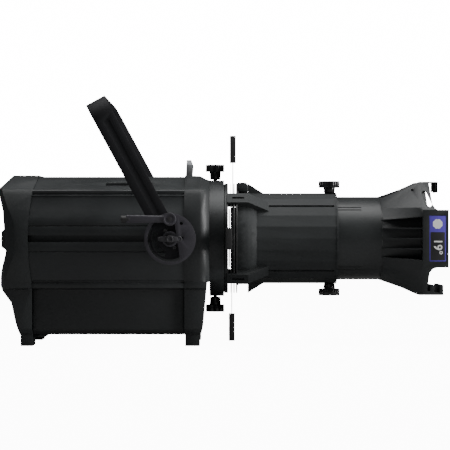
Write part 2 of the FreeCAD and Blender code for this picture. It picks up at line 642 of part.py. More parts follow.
def lens_rings():
    rings = []
    for x_mid in (REAR_LENS_X, FRONT_LENS_X):
        for x0 in (x_mid - LENS_THICK / 2 - 4.0, x_mid + LENS_THICK / 2 + 0.2):
            rings.append(tube_x(TUBE_R - TUBE_WALL, TUBE_R - TUBE_WALL - 5.0, x0, x0 + 3.6))
    return group(rings)


def flare_section(x, points):
    return Part.makePolygon([V(x, y, z) for y, z in points + [points[0]]])


def front_holder():
    tube_end = [(0.435, 0.943), (0.71, 0.726), (0.911, 0.435), (0.855, 0.419), (0.669, 0.677), (0.419, 0.879)]
    tube_end = [(y * TUBE_R, z * TUBE_R) for y, z in tube_end]
    plate_end = [(34.0, HOLDER_TOP), (HOLDER_SIDE - 4.0, 42.0 + 4.0), (HOLDER_SIDE, 32.0),
                 (HOLDER_SIDE - 4.5, 31.0), (HOLDER_SIDE - 8.5, 42.5), (33.0, HOLDER_TOP - 5.0)]
    pieces = []
    wing = Part.makeLoft([flare_section(TUBE_FRONT - 1, tube_end), flare_section(HOLDER_PLATE, plate_end)],
                         True, True)
    ear = prism_x([(34.0, HOLDER_TOP), (HOLDER_SIDE - 4.0, 46.0), (HOLDER_SIDE, 42.0), (HOLDER_SIDE, 32.0),
                   (HOLDER_SIDE - 5.0, 32.0), (HOLDER_SIDE - 5.0, 40.0), (HOLDER_SIDE - 8.0, 42.5),
                   (33.0, HOLDER_TOP - 5.0)], HOLDER_PLATE, 310.5)
    upper_side = [(HOLDER_PLATE, HOLDER_TOP), (303.3, HOLDER_TOP), (303.8, 50.0), (307.5, 44.0),
                  (310.5, 42.0), (310.5, 30.0), (HOLDER_PLATE, 30.0)]
    lower_side = [(HOLDER_PLATE, HOLDER_TOP), (300.0, HOLDER_TOP), (300.0, 50.0), (304.0, 44.0),
                  (310.5, 42.0), (310.5, 30.0), (HOLDER_PLATE, 30.0)]
    upper = wing.fuse(ear.common(prism_y(upper_side, -100, 100)))
    lower = wing.fuse(ear.common(prism_y(lower_side, -100, 100)))
    # a small round hole and a long slanted one through each upper ear
    pin_hole = rod_y(2.0, 40, 100, HOLDER_PLATE - 10.7, HOLDER_TOP - 12.7)
    steps = 6
    slanted = [rod_y(4.0, 40, 100, HOLDER_PLATE + 5.6 + 5.2 * k / steps, HOLDER_TOP - 18.0 - 15.5 * k / steps)
               for k in range(steps + 1)]
    upper = cut(upper, [pin_hole, join(slanted)])
    for mirror_y in (False, True):
        for mirror_z in (False, True):
            piece = lower.copy() if mirror_z else upper.copy()
            if mirror_y:
                piece = piece.mirror(V(0, 0, 0), V(0, 1, 0))
            if mirror_z:
                piece = piece.mirror(V(0, 0, 0), V(0, 0, 1))
            pieces.append(piece)
    cone = lathe_x([(TUBE_FRONT, TUBE_R), (HOLDER_PLATE, TUBE_R + 7), (HOLDER_PLATE, TUBE_R + 3.5),
                    (TUBE_FRONT, TUBE_R - 4.0)])
    plate_points = both_sides([(34.0, HOLDER_TOP - 2), (HOLDER_SIDE - 6.0, 42.0), (HOLDER_SIDE - 3, 32.0),
                               (HOLDER_SIDE - 3, -32.0), (HOLDER_SIDE - 6.0, -42.0), (34.0, -HOLDER_TOP + 2)])
    plate = prism_x(plate_points, HOLDER_PLATE, HOLDER_PLATE + 8).cut(rod_x(TUBE_R + 3.5, HOLDER_PLATE - 1, 300))
    pieces.append(cone)
    pieces.append(plate)
    for k, reach in ((0, HOLDER_TOP), (90, HOLDER_SIDE), (180, HOLDER_TOP), (270, HOLDER_SIDE)):
        for y in (-15.0, 0.0, 15.0):
            fin = prism_y([(TUBE_FRONT, TUBE_R - 2.5), (TUBE_FRONT, TUBE_R + 0.5), (HOLDER_PLATE, reach - 2),
                           (HOLDER_PLATE, TUBE_R + 4.0)], y - FIN_THICK / 2, y + FIN_THICK / 2)
            pieces.append(turned_x(fin, k))
    # side channels that guide the frame, and the bottom channel that it rests in
    channel_reach = FRAME_HALF + 0.8
    for side in (-1, 1):
        channel_in = FRAME_HALF - 5.5
        outline = [(HOLDER_PLATE, channel_in), (HOLDER_PLATE, HOLDER_SIDE), (FRONT_END, HOLDER_SIDE),
                   (FRONT_END, channel_in)]
        wall = prism_z([(x, y * side) for x, y in outline], -42.0, 42.0)
        slot = box(SLOT_REAR, SLOT_FRONT, channel_in - 4, channel_reach, -60, 60)
        well = box(HOLDER_PLATE + 8.0, SLOT_REAR - 4.5, channel_in - 4, HOLDER_SIDE - 4.0, -60, 60)
        if side < 0:
            slot, well = mirrored_y(slot), mirrored_y(well)
        pieces.append(cut(wall, [slot, well]))
    bottom = box(HOLDER_PLATE, 324.8, -38, 38, -HOLDER_TOP, -FRAME_HALF + 10.5)
    bottom = bottom.cut(box(SLOT_REAR, SLOT_FRONT, -50, 50, -channel_reach, -60))
    bottom = bottom.cut(box(301.0, 305.4, -50, 50, -FRAME_HALF + 1.5, -60))
    pieces.append(bottom)
    holder = join(pieces)
    recess = box(LABEL_REAR - GAP, LABEL_FRONT + GAP, HOLDER_SIDE - LABEL_DEPTH, HOLDER_SIDE + 1,
                 -LABEL_HALF - GAP, LABEL_HALF + GAP)
    holder = cut(holder, [recess, mirrored_y(recess)])
    holder = holder.cut(rod_x(TUBE_R - 4.0, TUBE_FRONT - 2, TUBE_FRONT + 0.5))
    holder = holder.cut(rod_x(TUBE_R + 0.0, TUBE_FRONT - 3, TUBE_FRONT))
    keep_pin = rod_y(CLIP_PIN_R, -36, 36, CLIP_X, CLIP_Z)
    keep_clip = box(CLIP_X - 4.0, 330, -CLIP_HALF - GAP, CLIP_HALF + GAP, CLIP_Z - 4.0, HOLDER_TOP + 2)
    return holder.cut(keep_pin).cut(keep_clip)


LABEL_REAR, LABEL_FRONT, LABEL_HALF = 298.4, 322.6, 33.2
LABEL_DEPTH = 1.2
CLIP_X = 301.5
CLIP_Z = HOLDER_TOP - 3.0
CLIP_PIN_R = 1.2
CLIP_HALF = 28.0


def frame_clip():
    thick = 0.9
    end = 317.5
    sheet = box(CLIP_X, end, -CLIP_HALF, CLIP_HALF, HOLDER_TOP - thick, HOLDER_TOP)
    leg = box(end - thick, end, -CLIP_HALF, CLIP_HALF, HOLDER_TOP - 16.0, HOLDER_TOP)
    fold = box(end - 4.0, end - 4.0 + thick, -CLIP_HALF, CLIP_HALF, HOLDER_TOP - 14.5, HOLDER_TOP)
    curl = rod_y(2.5, -CLIP_HALF, CLIP_HALF, CLIP_X, CLIP_Z)
    clip = join([sheet, leg, fold, curl])
    return clip.cut(rod_y(CLIP_PIN_R + RUN, -60, 60, CLIP_X, CLIP_Z))


# ---------------------------------------------------------------- yoke
def yoke_bracket():
    outer = box(-YOKE_WIDTH / 2, YOKE_WIDTH / 2, -YOKE_INNER - YOKE_THICK, YOKE_INNER + YOKE_THICK,
                0, YOKE_HEIGHT)
    top = [e for e in outer.Edges if abs(e.BoundBox.ZMin - YOKE_HEIGHT) < 0.1
           and e.BoundBox.XLength > YOKE_WIDTH - 1]
    outer = outer.makeFillet(26.0, top)
    inner = box(-YOKE_WIDTH, YOKE_WIDTH, -YOKE_INNER, YOKE_INNER, -1, YOKE_HEIGHT - YOKE_THICK)
    top = [e for e in inner.Edges if abs(e.BoundBox.ZMin - YOKE_HEIGHT + YOKE_THICK) < 0.1
           and e.BoundBox.XLength > YOKE_WIDTH]
    inner = inner.makeFillet(21.0, top)
    bracket = outer.cut(inner)
    for side in (-1, 1):
        y0 = YOKE_INNER if side > 0 else -YOKE_INNER - YOKE_THICK
        y1 = y0 + YOKE_THICK
        bracket = bracket.fuse(rod_y(END_R, y0, y1))
        # a shallow groove pressed along each arm
        groove_y = y1 - 0.8 if side > 0 else y0 - 0.2
        bracket = bracket.cut(box(-4.0, 5.0, groove_y, groove_y + 1.0, DISC_R + 4, YOKE_HEIGHT - 34))
        bracket = bracket.cut(rod_y(PIVOT_R + RUN, y0 - 1, y1 + 1))
        sweep = crescent(19.0, 26.5, 125.0, 225.0, y0 - 1, y1 + 1)
        bracket = bracket.cut(sweep)
    bracket = bracket.cut(rod_z(HANG_R, YOKE_HEIGHT - 10, YOKE_HEIGHT + 1))
    for y in (-60.0, 60.0):
        bracket = bracket.cut(rod_z(5.3, YOKE_HEIGHT - 10, YOKE_HEIGHT + 1, 0, y))
    return leaned(bracket.removeSplitter())


END_R = 29.0
HANG_R = 6.5


def crescent(r0, r1, start, stop, y0, y1):
    """A slot along an arc about the tilt axis, angles from +X towards +Z."""
    steps = 10
    angles = [math.radians(start + (stop - start) * k / steps) for k in range(steps + 1)]
    outline = [(r1 * math.cos(a), r1 * math.sin(a)) for a in angles]
    outline += [(r0 * math.cos(a), r0 * math.sin(a)) for a in reversed(angles)]
    return prism_y(outline, y0, y1)


def tilt_plate():
    y0 = YOKE_INNER + YOKE_THICK
    plate = rod_y(DISC_R, y0, y0 + DISC_THICK)
    opening = rod_y(DISC_R - 4.6, y0 - 1, y0 + DISC_THICK + 1)
    keep = prism_y([(4.0, 40.0), (16.0, -40.0), (60.0, -40.0), (60.0, 40.0)], y0 - 2, y0 + DISC_THICK + 2)
    plate = plate.cut(opening.cut(keep))
    strap = box(-5.5, 10.0, y0, y0 + DISC_THICK, -6.0, 6.0).fuse(rod_y(11.0, y0, y0 + DISC_THICK))
    tab = box(-5.0, 5.0, y0, y0 + DISC_THICK, LEVER_UP - 6, LEVER_UP + 6)
    plate = plate.fuse(strap).fuse(tab.fuse(rod_y(9.5, y0, y0 + DISC_THICK, 0, LEVER_UP)))
    plate = plate.cut(rod_y(PIVOT_R + RUN, y0 - 1, y0 + DISC_THICK + 1))
    plate = plate.cut(rod_y(LEVER_PIN_R + RUN, y0 - 1, y0 + DISC_THICK + 1, 0, LEVER_UP))
    plate = plate.cut(rod_y(2.4, y0 - 1, y0 + DISC_THICK + 1, 17.0, 1.0))
    plate = plate.cut(rod_y(2.4, y0 - 1, y0 + DISC_THICK + 1, 16.0, 22.0))
    return moved(plate.removeSplitter(), x=YOKE_X)


LEVER_PIN_R = 3.0


def tilt_lever(side):
    y0 = YOKE_INNER + YOKE_THICK + DISC_THICK + GAP
    hub = rod_y(9.0, y0, LEVER_END)
    bar = box(-LEVER_LENGTH, 0, LEVER_END - 10.0, LEVER_END, -6.0, 6.0)
    bar = bar.makeFillet(2.0, [e for e in bar.Edges if e.BoundBox.XLength > 10])
    pin = rod_y(LEVER_PIN_R, YOKE_INNER + YOKE_THICK + 0.5, y0)
    lever = moved(join([hub, bar, pin]), x=YOKE_X, z=LEVER_UP)
    return lever if side > 0 else mirrored_y(lever)


def on_both_sides(shape):
    return group([shape, mirrored_y(shape)])


def yoke_hardware():
    y_plate = YOKE_INNER + YOKE_THICK + DISC_THICK
    bolt = rod_y(PIVOT_R, SHELL_HALF_WIDTH + 16.0, y_plate)
    head = rod_y(8.5, y_plate, y_plate + 3.0)
    wing = box(-9.0, 12.0, y_plate + 3.0, y_plate + 7.0, -3.0, 3.0).fuse(rod_y(5.0, y_plate + 3, y_plate + 8))
    bolt = moved(join([bolt, head, wing]), x=YOKE_X)
    node("pivot_bolts", on_both_sides(bolt))
    screws = []
    for along in (-13.5, 13.5):
        screw = rod_y(2.0, YOKE_INNER + YOKE_THICK, YOKE_INNER + YOKE_THICK + 2.4)
        a = math.radians(YOKE_LEAN)
        screws.append(moved(screw, x=YOKE_X - along * math.sin(a), z=along * math.cos(a)))
    node("clamp_screws", group(screws + [mirrored_y(s) for s in screws]))
    inner_face = SHELL_HALF_WIDTH - SHELL_WALL * 1.05
    boss = rod_y(16.0, inner_face - 6.0, inner_face)
    boss = boss.fuse(rod_y(9.0 - GAP, inner_face, SHELL_HALF_WIDTH + 1.0))
    boss = boss.fuse(rod_y(20.0, SHELL_HALF_WIDTH + 0.0, YOKE_INNER - GAP))
    boss = boss.cut(rod_y(PIVOT_R + RUN, SHELL_HALF_WIDTH + 14.0, YOKE_INNER + 1))
    node("pivot_bosses", on_both_sides(moved(boss, x=YOKE_X)))


# ---------------------------------------------------------------- connectors and small hardware
def connectors():
    node("connector_panel", box(PORT_FLOOR, PORT_FLOOR + 3, -PORT_HALF - 2, PORT_HALF + 2,
                                PORT_BOTTOM - 2, PORT_TOP + 2))
    for name, y in (("power_inlet", 54.0), ("power_outlet", 18.0)):
        body = rod_x(12.5, PORT_FLOOR - 6, PORT_FLOOR, y, -96.0)
        flange = box(PORT_FLOOR - 2, PORT_FLOOR, y - 14, y + 14, -112.0, -80.0)
        socket = rod_x(9.5, PORT_FLOOR - 7, PORT_FLOOR - 3, y, -96.0)
        key = rod_x(5.0, PORT_FLOOR - 5.5, PORT_FLOOR - 2, y, -96.0)
        node(name, join([body, flange]).cut(socket).fuse(key).removeSplitter())
    for name, y in (("data_in", -18.0), ("data_out", -54.0)):
        body = rod_x(11.0, PORT_FLOOR - 4, PORT_FLOOR, y, -96.0)
        flange = box(PORT_FLOOR - 2, PORT_FLOOR, y - 13, y + 13, -111.5, -80.5)
        socket = join([body, flange]).cut(rod_x(8.0, PORT_FLOOR - 7, PORT_FLOOR - 1, y, -96.0))
        pins = [rod_x(0.9, PORT_FLOOR - 4, PORT_FLOOR - 1, y + 4.5 * math.cos(t), -96 + 4.5 * math.sin(t))
                for t in (math.radians(72 * k + 18) for k in range(5))]
        node(name, join([socket] + pins))


def gate_screws():
    """Four screw heads on the front plate of the gate."""
    screws = []
    for turn in (27, -27, 153, 207):
        head = rod_x(2.6, GATE_FRONT, GATE_FRONT + 1.8, 0, PLATE_R - 7.0)
        screws.append(turned_x(head, turn))
    return group(screws)


# ---------------------------------------------------------------- write every node
def build():
    node("main_shell", main_shell())
    node("power_box", power_box())
    node("rear_cap", rear_cap())
    node("control_panel", control_panel())
    node("display_window", box(PANEL_FACE + 1.0, PANEL_FACE + 2.2, -52, 6, -9.5, 7.5))
    for name, y in zip(BUTTON_NAMES, BUTTON_Y):
        node("button_" + name, menu_button(y))
    node("front_casting", front_casting())
    node("safety_eye", safety_eye())
    pads = []
    for x0, x1 in ((FOOT_REAR, CAP_JOINT), (SHELL_FRONT + 1, CASTING_FRONT - 3)):
        pad = box(x0, x1, FOOT_INNER, FOOT_OUTER, -AXIS_HEIGHT, -AXIS_HEIGHT + FOOT_PAD)
        pads += [pad, mirrored_y(pad)]
    node("rubber_feet", group(pads))
    node("barrel_lock_top", star_knob(LOCK_X, LOCK_KNOB, False))
    node("barrel_lock_bottom", star_knob(LOCK_X, LOCK_KNOB, True))
    node("heat_sink", heat_sink())
    node("fan_frame", fan_frame())
    node("fan_rotor", fan_rotor())
    light_source()
    node("power_supply", box(-240, -100, -60, 40, BOX_BOTTOM + WALL, -95))
    board = box(-240, -130, 48, 85, BOX_BOTTOM + WALL + 8, BOX_BOTTOM + WALL + 10)
    posts = [rod_z(3.0, BOX_BOTTOM + WALL, BOX_BOTTOM + WALL + 8, x, y) for x in (-235, -135) for y in (53, 80)]
    node("control_board", join([board] + posts))
    connectors()
    node("gate_flange", gate_flange())
    node("gate_plates", group([gate_plate(x0, x1) for x0, x1 in GATE_PLATES]))
    node("barrel_shell", barrel_shell())
    node("slot_cover", slot_cover())
    node("gate_screws", gate_screws())
    for side in BLADE_TURN:
        node("shutter_blade_" + side, blade(side))
        node("shutter_grip_" + side, grip(side))
    node("focus_lock_top", star_knob(FOCUS_X, FOCUS_KNOB, False))
    node("focus_lock_bottom", star_knob(FOCUS_X, FOCUS_KNOB, True))
    node("lens_tube", lens_tube())
    node("rear_lens", lathe_x(lens_profile(REAR_LENS_X, LENS_R, LENS_THICK)))
    node("front_lens", lathe_x(lens_profile(FRONT_LENS_X, LENS_R, LENS_THICK)))
    node("lens_rings", lens_rings())
    node("front_holder", front_holder())
    label = box(LABEL_REAR, LABEL_FRONT, HOLDER_SIDE - LABEL_DEPTH, HOLDER_SIDE - 0.2, -LABEL_HALF, LABEL_HALF)
    node("label_plates", on_both_sides(label))
    node("frame_clip", frame_clip())
    node("clip_pin", rod_y(CLIP_PIN_R, -36, 36, CLIP_X, CLIP_Z))
    node("yoke_bracket", yoke_bracket())
    node("tilt_plates", on_both_sides(tilt_plate()))
    yoke_hardware()
    node("tilt_lever_left", tilt_lever(1))
    node("tilt_lever_right", tilt_lever(-1))


build()
os.makedirs("parts", exist_ok=True)
for name, shape in nodes.items():
    shape.exportStep("parts/" + name + ".step")
    state = "ok" if shape.isValid() else "INVALID"
    size = shape.BoundBox
    print(f"{name:24s} {state} solids {len(shape.Solids)} volume {shape.Volume / 1000:9.2f} cm3 "
          f"x {size.XMin:8.2f} {size.XMax:8.2f} y {size.YMin:8.2f} {size.YMax:8.2f} z {size.ZMin:8.2f} {size.ZMax:8.2f}")
print(len(nodes), "nodes")
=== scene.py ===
# %% [markdown]
# # An LED profile spotlight, dressed for its portrait
# The engineer's model gives every metal part at its true size and place.  This lesson finishes
# it: rounded edges that catch the light, powder coat, moulded knobs and grips, coated lenses, a printed
# beam label.  Nothing here moves an engineered part; each new piece takes its place from them.

# %% Load the engineered frame
import json
import math
import bpy
from mathutils import Matrix, Vector


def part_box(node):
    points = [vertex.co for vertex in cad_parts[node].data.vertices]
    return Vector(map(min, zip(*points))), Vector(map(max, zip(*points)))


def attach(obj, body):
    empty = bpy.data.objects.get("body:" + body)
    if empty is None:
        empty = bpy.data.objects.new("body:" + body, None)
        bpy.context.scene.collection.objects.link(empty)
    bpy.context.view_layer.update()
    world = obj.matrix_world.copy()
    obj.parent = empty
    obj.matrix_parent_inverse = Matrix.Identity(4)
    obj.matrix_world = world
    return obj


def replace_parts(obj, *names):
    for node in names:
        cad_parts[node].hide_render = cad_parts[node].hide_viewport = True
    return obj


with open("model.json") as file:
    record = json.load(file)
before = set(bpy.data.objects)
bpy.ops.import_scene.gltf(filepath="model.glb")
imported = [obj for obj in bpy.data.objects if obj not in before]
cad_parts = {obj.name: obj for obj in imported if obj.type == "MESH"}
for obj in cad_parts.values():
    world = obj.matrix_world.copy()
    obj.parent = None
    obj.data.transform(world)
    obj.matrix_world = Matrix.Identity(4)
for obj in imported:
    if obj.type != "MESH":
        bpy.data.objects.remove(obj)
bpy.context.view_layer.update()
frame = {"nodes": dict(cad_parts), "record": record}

MM = 0.001
nodes = frame["nodes"]
body_of = {node: body for body, names in frame["record"]["behaviour"]["bodies"].items() for node in names}
slot_of = {row["node"]: row["material_slot"] for row in frame["record"]["subparts"]}

# %% [markdown]
# ## Where things are
# All places are read from the frame.  The optical axis is the middle of the lens tube, and the beam
# leaves along +X.  `AXIS_Z` is its height above the floor, and whatever is round about it uses it.

# %% The optical axis
tube_low, tube_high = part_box("lens_tube")
AXIS_Z = (tube_low.z + tube_high.z) / 2
print("optical axis at", round(AXIS_Z / MM, 1), "mm above the floor")

# %% [markdown]
# ## The camera and the light
# A catalogue portrait is taken from the side with a long lens, level with the lamp, so that lines stay
# nearly parallel.  One broad overhead softbox makes the tops pale, and the sides stay dark, which is
# how black equipment is kept readable on white.

# %% Camera
CAMERA_DISTANCE = 2.7
CAMERA_HEIGHT = AXIS_Z + 0.0198
CAMERA_SIDE = 0.0018
camera_data = bpy.data.cameras.new("portrait_camera")
camera_data.lens = 144.0
camera_data.sensor_width = 36.0
camera = bpy.data.objects.new("portrait_camera", camera_data)
bpy.context.scene.collection.objects.link(camera)
camera.location = (CAMERA_SIDE, -CAMERA_DISTANCE, CAMERA_HEIGHT)
camera.rotation_euler = (math.radians(90), 0, 0)
bpy.context.scene.camera = camera

# %% [markdown]
# The floor is a pale sheet far larger than the lamp.  The world is nearly white, so that the paper
# stays white at the horizon and the metal has something even to reflect.

# %% Floor, world and softboxes
def add_softbox(name, place, aim, width, height, watts):
    """A rectangular area light that looks at a point."""
    data = bpy.data.lights.new(name, "AREA")
    data.shape = "RECTANGLE"
    data.size = width
    data.size_y = height
    data.energy = watts
    lamp = bpy.data.objects.new(name, data)
    bpy.context.scene.collection.objects.link(lamp)
    lamp.location = place
    lamp.rotation_euler = (Vector(aim) - Vector(place)).to_track_quat("-Z", "Y").to_euler()
    return lamp


def make_world(seen, cast):
    """A white surround whose brightness to the eye is set apart from the light that it casts."""
    world = bpy.data.worlds.new("studio_white")
    world.use_nodes = True
    tree = world.node_tree
    background = tree.nodes["Background"]
    background.inputs["Color"].default_value = (1.0, 1.0, 1.0, 1.0)
    path = tree.nodes.new("ShaderNodeLightPath")
    choose = tree.nodes.new("ShaderNodeMapRange")
    choose.inputs["To Min"].default_value = cast
    choose.inputs["To Max"].default_value = seen
    tree.links.new(path.outputs["Is Camera Ray"], choose.inputs["Value"])
    tree.links.new(choose.outputs["Result"], background.inputs["Strength"])
    bpy.context.scene.world = world


def make_paper():
    """White paper that stays white to the eye, and still takes a soft shadow."""
    paper = bpy.data.materials.new("white_paper")
    paper.use_nodes = True
    tree = paper.node_tree
    shader = tree.nodes["Principled BSDF"]
    shader.inputs["Base Color"].default_value = (0.30, 0.30, 0.30, 1.0)
    shader.inputs["Roughness"].default_value = 0.9
    shader.inputs["Specular IOR Level"].default_value = 0.1
    shader.inputs["Emission Color"].default_value = (1.0, 1.0, 1.0, 1.0)
    path = tree.nodes.new("ShaderNodeLightPath")
    glow = tree.nodes.new("ShaderNodeMath")
    glow.operation = "MULTIPLY"
    glow.inputs[1].default_value = PAPER_GLOW
    tree.links.new(path.outputs["Is Camera Ray"], glow.inputs[0])
    tree.links.new(glow.outputs[0], shader.inputs["Emission Strength"])
    return paper


PAPER_GLOW = 12.0          # the backdrop has to clear the top of the view's tone curve
WORLD_SEEN = 16.0
WORLD_CAST = 0.05
bpy.ops.mesh.primitive_plane_add(size=40.0, location=(0, 0, -0.0005))
floor = bpy.context.object
floor.name = "paper_floor"
floor.data.materials.append(make_paper())
make_world(WORLD_SEEN, WORLD_CAST)
add_softbox("top_softbox", (0.0, -0.15, 1.6), (0.0, 0.0, 0.15), 2.4, 1.0, 36)
add_softbox("side_fill", (-0.3, -2.4, 0.7), (0.0, 0.0, 0.15), 1.6, 0.8, 1.2)
add_softbox("front_strip", (2.0, -0.55, 0.6), (0.0, -0.1, 0.2), 0.9, 1.0, 45)

# %% [markdown]
# ## Small helpers
# Operators work on whatever is selected, so every step starts by deselecting everything.  A finished
# piece keeps its place in its mesh, so each primitive has its transform applied at once.

# %% Selecting, applying and riding
def only(piece):
    """Make one object the selected and active one."""
    if bpy.context.object and bpy.context.object.mode != "OBJECT":
        bpy.ops.object.mode_set(mode="OBJECT")
    bpy.ops.object.select_all(action="DESELECT")
    piece.select_set(True)
    bpy.context.view_layer.objects.active = piece


def settle(piece):
    """Put the object's place, turn and scale into its mesh."""
    only(piece)
    bpy.ops.object.transform_apply(location=True, rotation=True, scale=True)
    return piece


def apply_all(piece):
    only(piece)
    for modifier in list(piece.modifiers):
        bpy.ops.object.modifier_apply(modifier=modifier.name)
    return piece


def bevelled(piece, width, segments=2, angle=30.0, crease=35.0):
    """Round every edge sharper than the angle and shade all below the crease angle smooth."""
    bevel = piece.modifiers.new("rounding", "BEVEL")
    bevel.width = width
    bevel.segments = segments
    bevel.limit_method = "ANGLE"
    bevel.angle_limit = math.radians(angle)
    bevel.harden_normals = False
    apply_all(piece)
    bpy.ops.object.shade_smooth_by_angle(angle=math.radians(crease))
    return piece


def finished(piece, name, node, *materials):
    """Name a piece, give it its materials and let it move with the body of a CAD node."""
    piece.name = name
    piece.data.name = name
    piece.data.materials.clear()
    for material in materials:
        piece.data.materials.append(material)
    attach(piece, body_of[node])
    return piece


def faces_where(piece, test):
    """Select the faces whose centre and normal pass a test, then enter edit mode."""
    only(piece)
    bpy.ops.object.mode_set(mode="EDIT")
    bpy.ops.mesh.select_mode(type="FACE")
    bpy.ops.mesh.select_all(action="DESELECT")
    bpy.ops.object.mode_set(mode="OBJECT")
    found = 0
    for face in piece.data.polygons:
        face.select = test(face.center, face.normal)
        found += face.select
    bpy.ops.object.mode_set(mode="EDIT")
    return found


def joined(pieces):
    """Join several objects into the first."""
    only(pieces[0])
    for piece in pieces[1:]:
        piece.select_set(True)
    bpy.ops.object.join()
    return bpy.context.object

# %% [markdown]
# ## Shared effects
# Powder coat is a baked-on skin with a fine orange peel and slow changes in gloss.  Where hands and
# clamps rub, its edges polish and turn paler.  Both effects serve many finishes, so each is a node
# group: one gives a height and a slow mottle, the other a mask that is white along worn edges.

# %% Node helpers
def new_group(name, inputs, outputs):
    group = bpy.data.node_groups.new(name, "ShaderNodeTree")
    for label, value in inputs:
        socket = group.interface.new_socket(label, in_out="INPUT", socket_type="NodeSocketFloat")
        socket.default_value = value
    for label in outputs:
        group.interface.new_socket(label, in_out="OUTPUT", socket_type="NodeSocketFloat")
    entry = group.nodes.new("NodeGroupInput")
    leave = group.nodes.new("NodeGroupOutput")
    return group, entry, leave


def wire(tree, source, target):
    tree.links.new(source, target)


def math_node(tree, operation, first, second):
    """A Math node whose two inputs are sockets or numbers."""
    node = tree.nodes.new("ShaderNodeMath")
    node.operation = operation
    for index, value in enumerate((first, second)):
        if isinstance(value, (int, float)):
            node.inputs[index].default_value = value
        elif value is not None:
            wire(tree, value, node.inputs[index])
    return node.outputs[0]


def object_noise(tree, scale, detail=2.0, stretch=(1, 1, 1)):
    """Noise on Object coordinates; the scale is in turns per metre."""
    place = tree.nodes.new("ShaderNodeTexCoord")
    mapping = tree.nodes.new("ShaderNodeMapping")
    mapping.inputs["Scale"].default_value = stretch
    noise = tree.nodes.new("ShaderNodeTexNoise")
    noise.inputs["Detail"].default_value = detail
    wire(tree, place.outputs["Object"], mapping.inputs["Vector"])
    wire(tree, mapping.outputs["Vector"], noise.inputs["Vector"])
    if isinstance(scale, (int, float)):
        noise.inputs["Scale"].default_value = scale
    else:
        wire(tree, scale, noise.inputs["Scale"])
    return noise.outputs["Fac"]


def ramp(tree, source, low, high):
    """Stretch a value so that low becomes 0 and high becomes 1."""
    node = tree.nodes.new("ShaderNodeMapRange")
    node.inputs["From Min"].default_value = low
    node.inputs["From Max"].default_value = high
    wire(tree, source, node.inputs["Value"])
    return node.outputs["Result"]

# %% Orange peel group and worn edge group
def make_peel_group():
    group, entry, leave = new_group("orange_peel", [("Scale", 900.0), ("Mottle Scale", 18.0)],
                                    ["Height", "Mottle"])
    wire(group, object_noise(group, entry.outputs["Scale"], 3.0), leave.inputs["Height"])
    slow = object_noise(group, entry.outputs["Mottle Scale"], 4.0)
    wire(group, ramp(group, slow, 0.3, 0.7), leave.inputs["Mottle"])
    return group


def make_wear_group():
    group, entry, leave = new_group("worn_edge", [("Amount", 0.5), ("Patch Scale", 60.0)], ["Mask"])
    geometry = group.nodes.new("ShaderNodeNewGeometry")
    rounded = group.nodes.new("ShaderNodeBevel")
    rounded.samples = 4
    rounded.inputs["Radius"].default_value = 0.9 * MM
    facing = group.nodes.new("ShaderNodeVectorMath")
    facing.operation = "DOT_PRODUCT"
    wire(group, geometry.outputs["Normal"], facing.inputs[0])
    wire(group, rounded.outputs["Normal"], facing.inputs[1])
    turned = math_node(group, "SUBTRACT", 1.0, facing.outputs["Value"])
    edge = ramp(group, turned, 0.01, 0.16)
    patches = ramp(group, object_noise(group, entry.outputs["Patch Scale"], 5.0), 0.42, 0.66)
    worn = math_node(group, "MULTIPLY", edge, patches)
    wire(group, math_node(group, "MULTIPLY", worn, entry.outputs["Amount"]), leave.inputs["Mask"])
    return group


orange_peel = make_peel_group()
worn_edge = make_wear_group()


def use_group(tree, group, **values):
    node = tree.nodes.new("ShaderNodeGroup")
    node.node_tree = group
    for label, value in values.items():
        node.inputs[label.replace("_", " ")].default_value = value
    return node


def mix_colour(tree, mask, dark, pale):
    """Two plain colours mixed by a mask."""
    node = tree.nodes.new("ShaderNodeMix")
    node.data_type = "RGBA"
    for index, value in ((6, dark), (7, pale)):
        if isinstance(value, tuple):
            node.inputs[index].default_value = (*value, 1.0)
        else:
            wire(tree, value, node.inputs[index])
    wire(tree, mask, node.inputs[0])
    return node.outputs[2]


def new_material(name):
    material = bpy.data.materials.new(name)
    material.use_nodes = True
    return material, material.node_tree, material.node_tree.nodes["Principled BSDF"]


def bumped(tree, shader, height, strength, distance):
    bump = tree.nodes.new("ShaderNodeBump")
    bump.inputs["Strength"].default_value = strength
    bump.inputs["Distance"].default_value = distance
    wire(tree, height, bump.inputs["Height"])
    wire(tree, bump.outputs["Normal"], shader.inputs["Normal"])

# %% [markdown]
# ## Painted metal
# Housing, castings, yoke and clamps share one recipe with their own values: a nearly black colour that
# drifts a little, gloss that drifts with it, and paler rubbed edges.

# %% Powder coat recipe
def powder_coat(name, colour, worn_colour, roughness, peel=900.0, wear=0.5, bump=0.25, shine=0.5):
    material, tree, shader = new_material(name)
    peel_node = use_group(tree, orange_peel, Scale=peel)
    wear_node = use_group(tree, worn_edge, Amount=wear)
    lighter = tuple(channel * 1.35 for channel in colour)
    skin = mix_colour(tree, peel_node.outputs["Mottle"], colour, lighter)
    wire(tree, mix_colour(tree, wear_node.outputs["Mask"], skin, worn_colour), shader.inputs["Base Color"])
    gloss = math_node(tree, "MULTIPLY", peel_node.outputs["Mottle"], 0.10)
    gloss = math_node(tree, "ADD", gloss, roughness)
    rubbed = math_node(tree, "MULTIPLY", wear_node.outputs["Mask"], 0.18)
    wire(tree, math_node(tree, "SUBTRACT", gloss, rubbed), shader.inputs["Roughness"])
    shader.inputs["Specular IOR Level"].default_value = shine
    bumped(tree, shader, peel_node.outputs["Height"], bump, 0.0004)
    return material


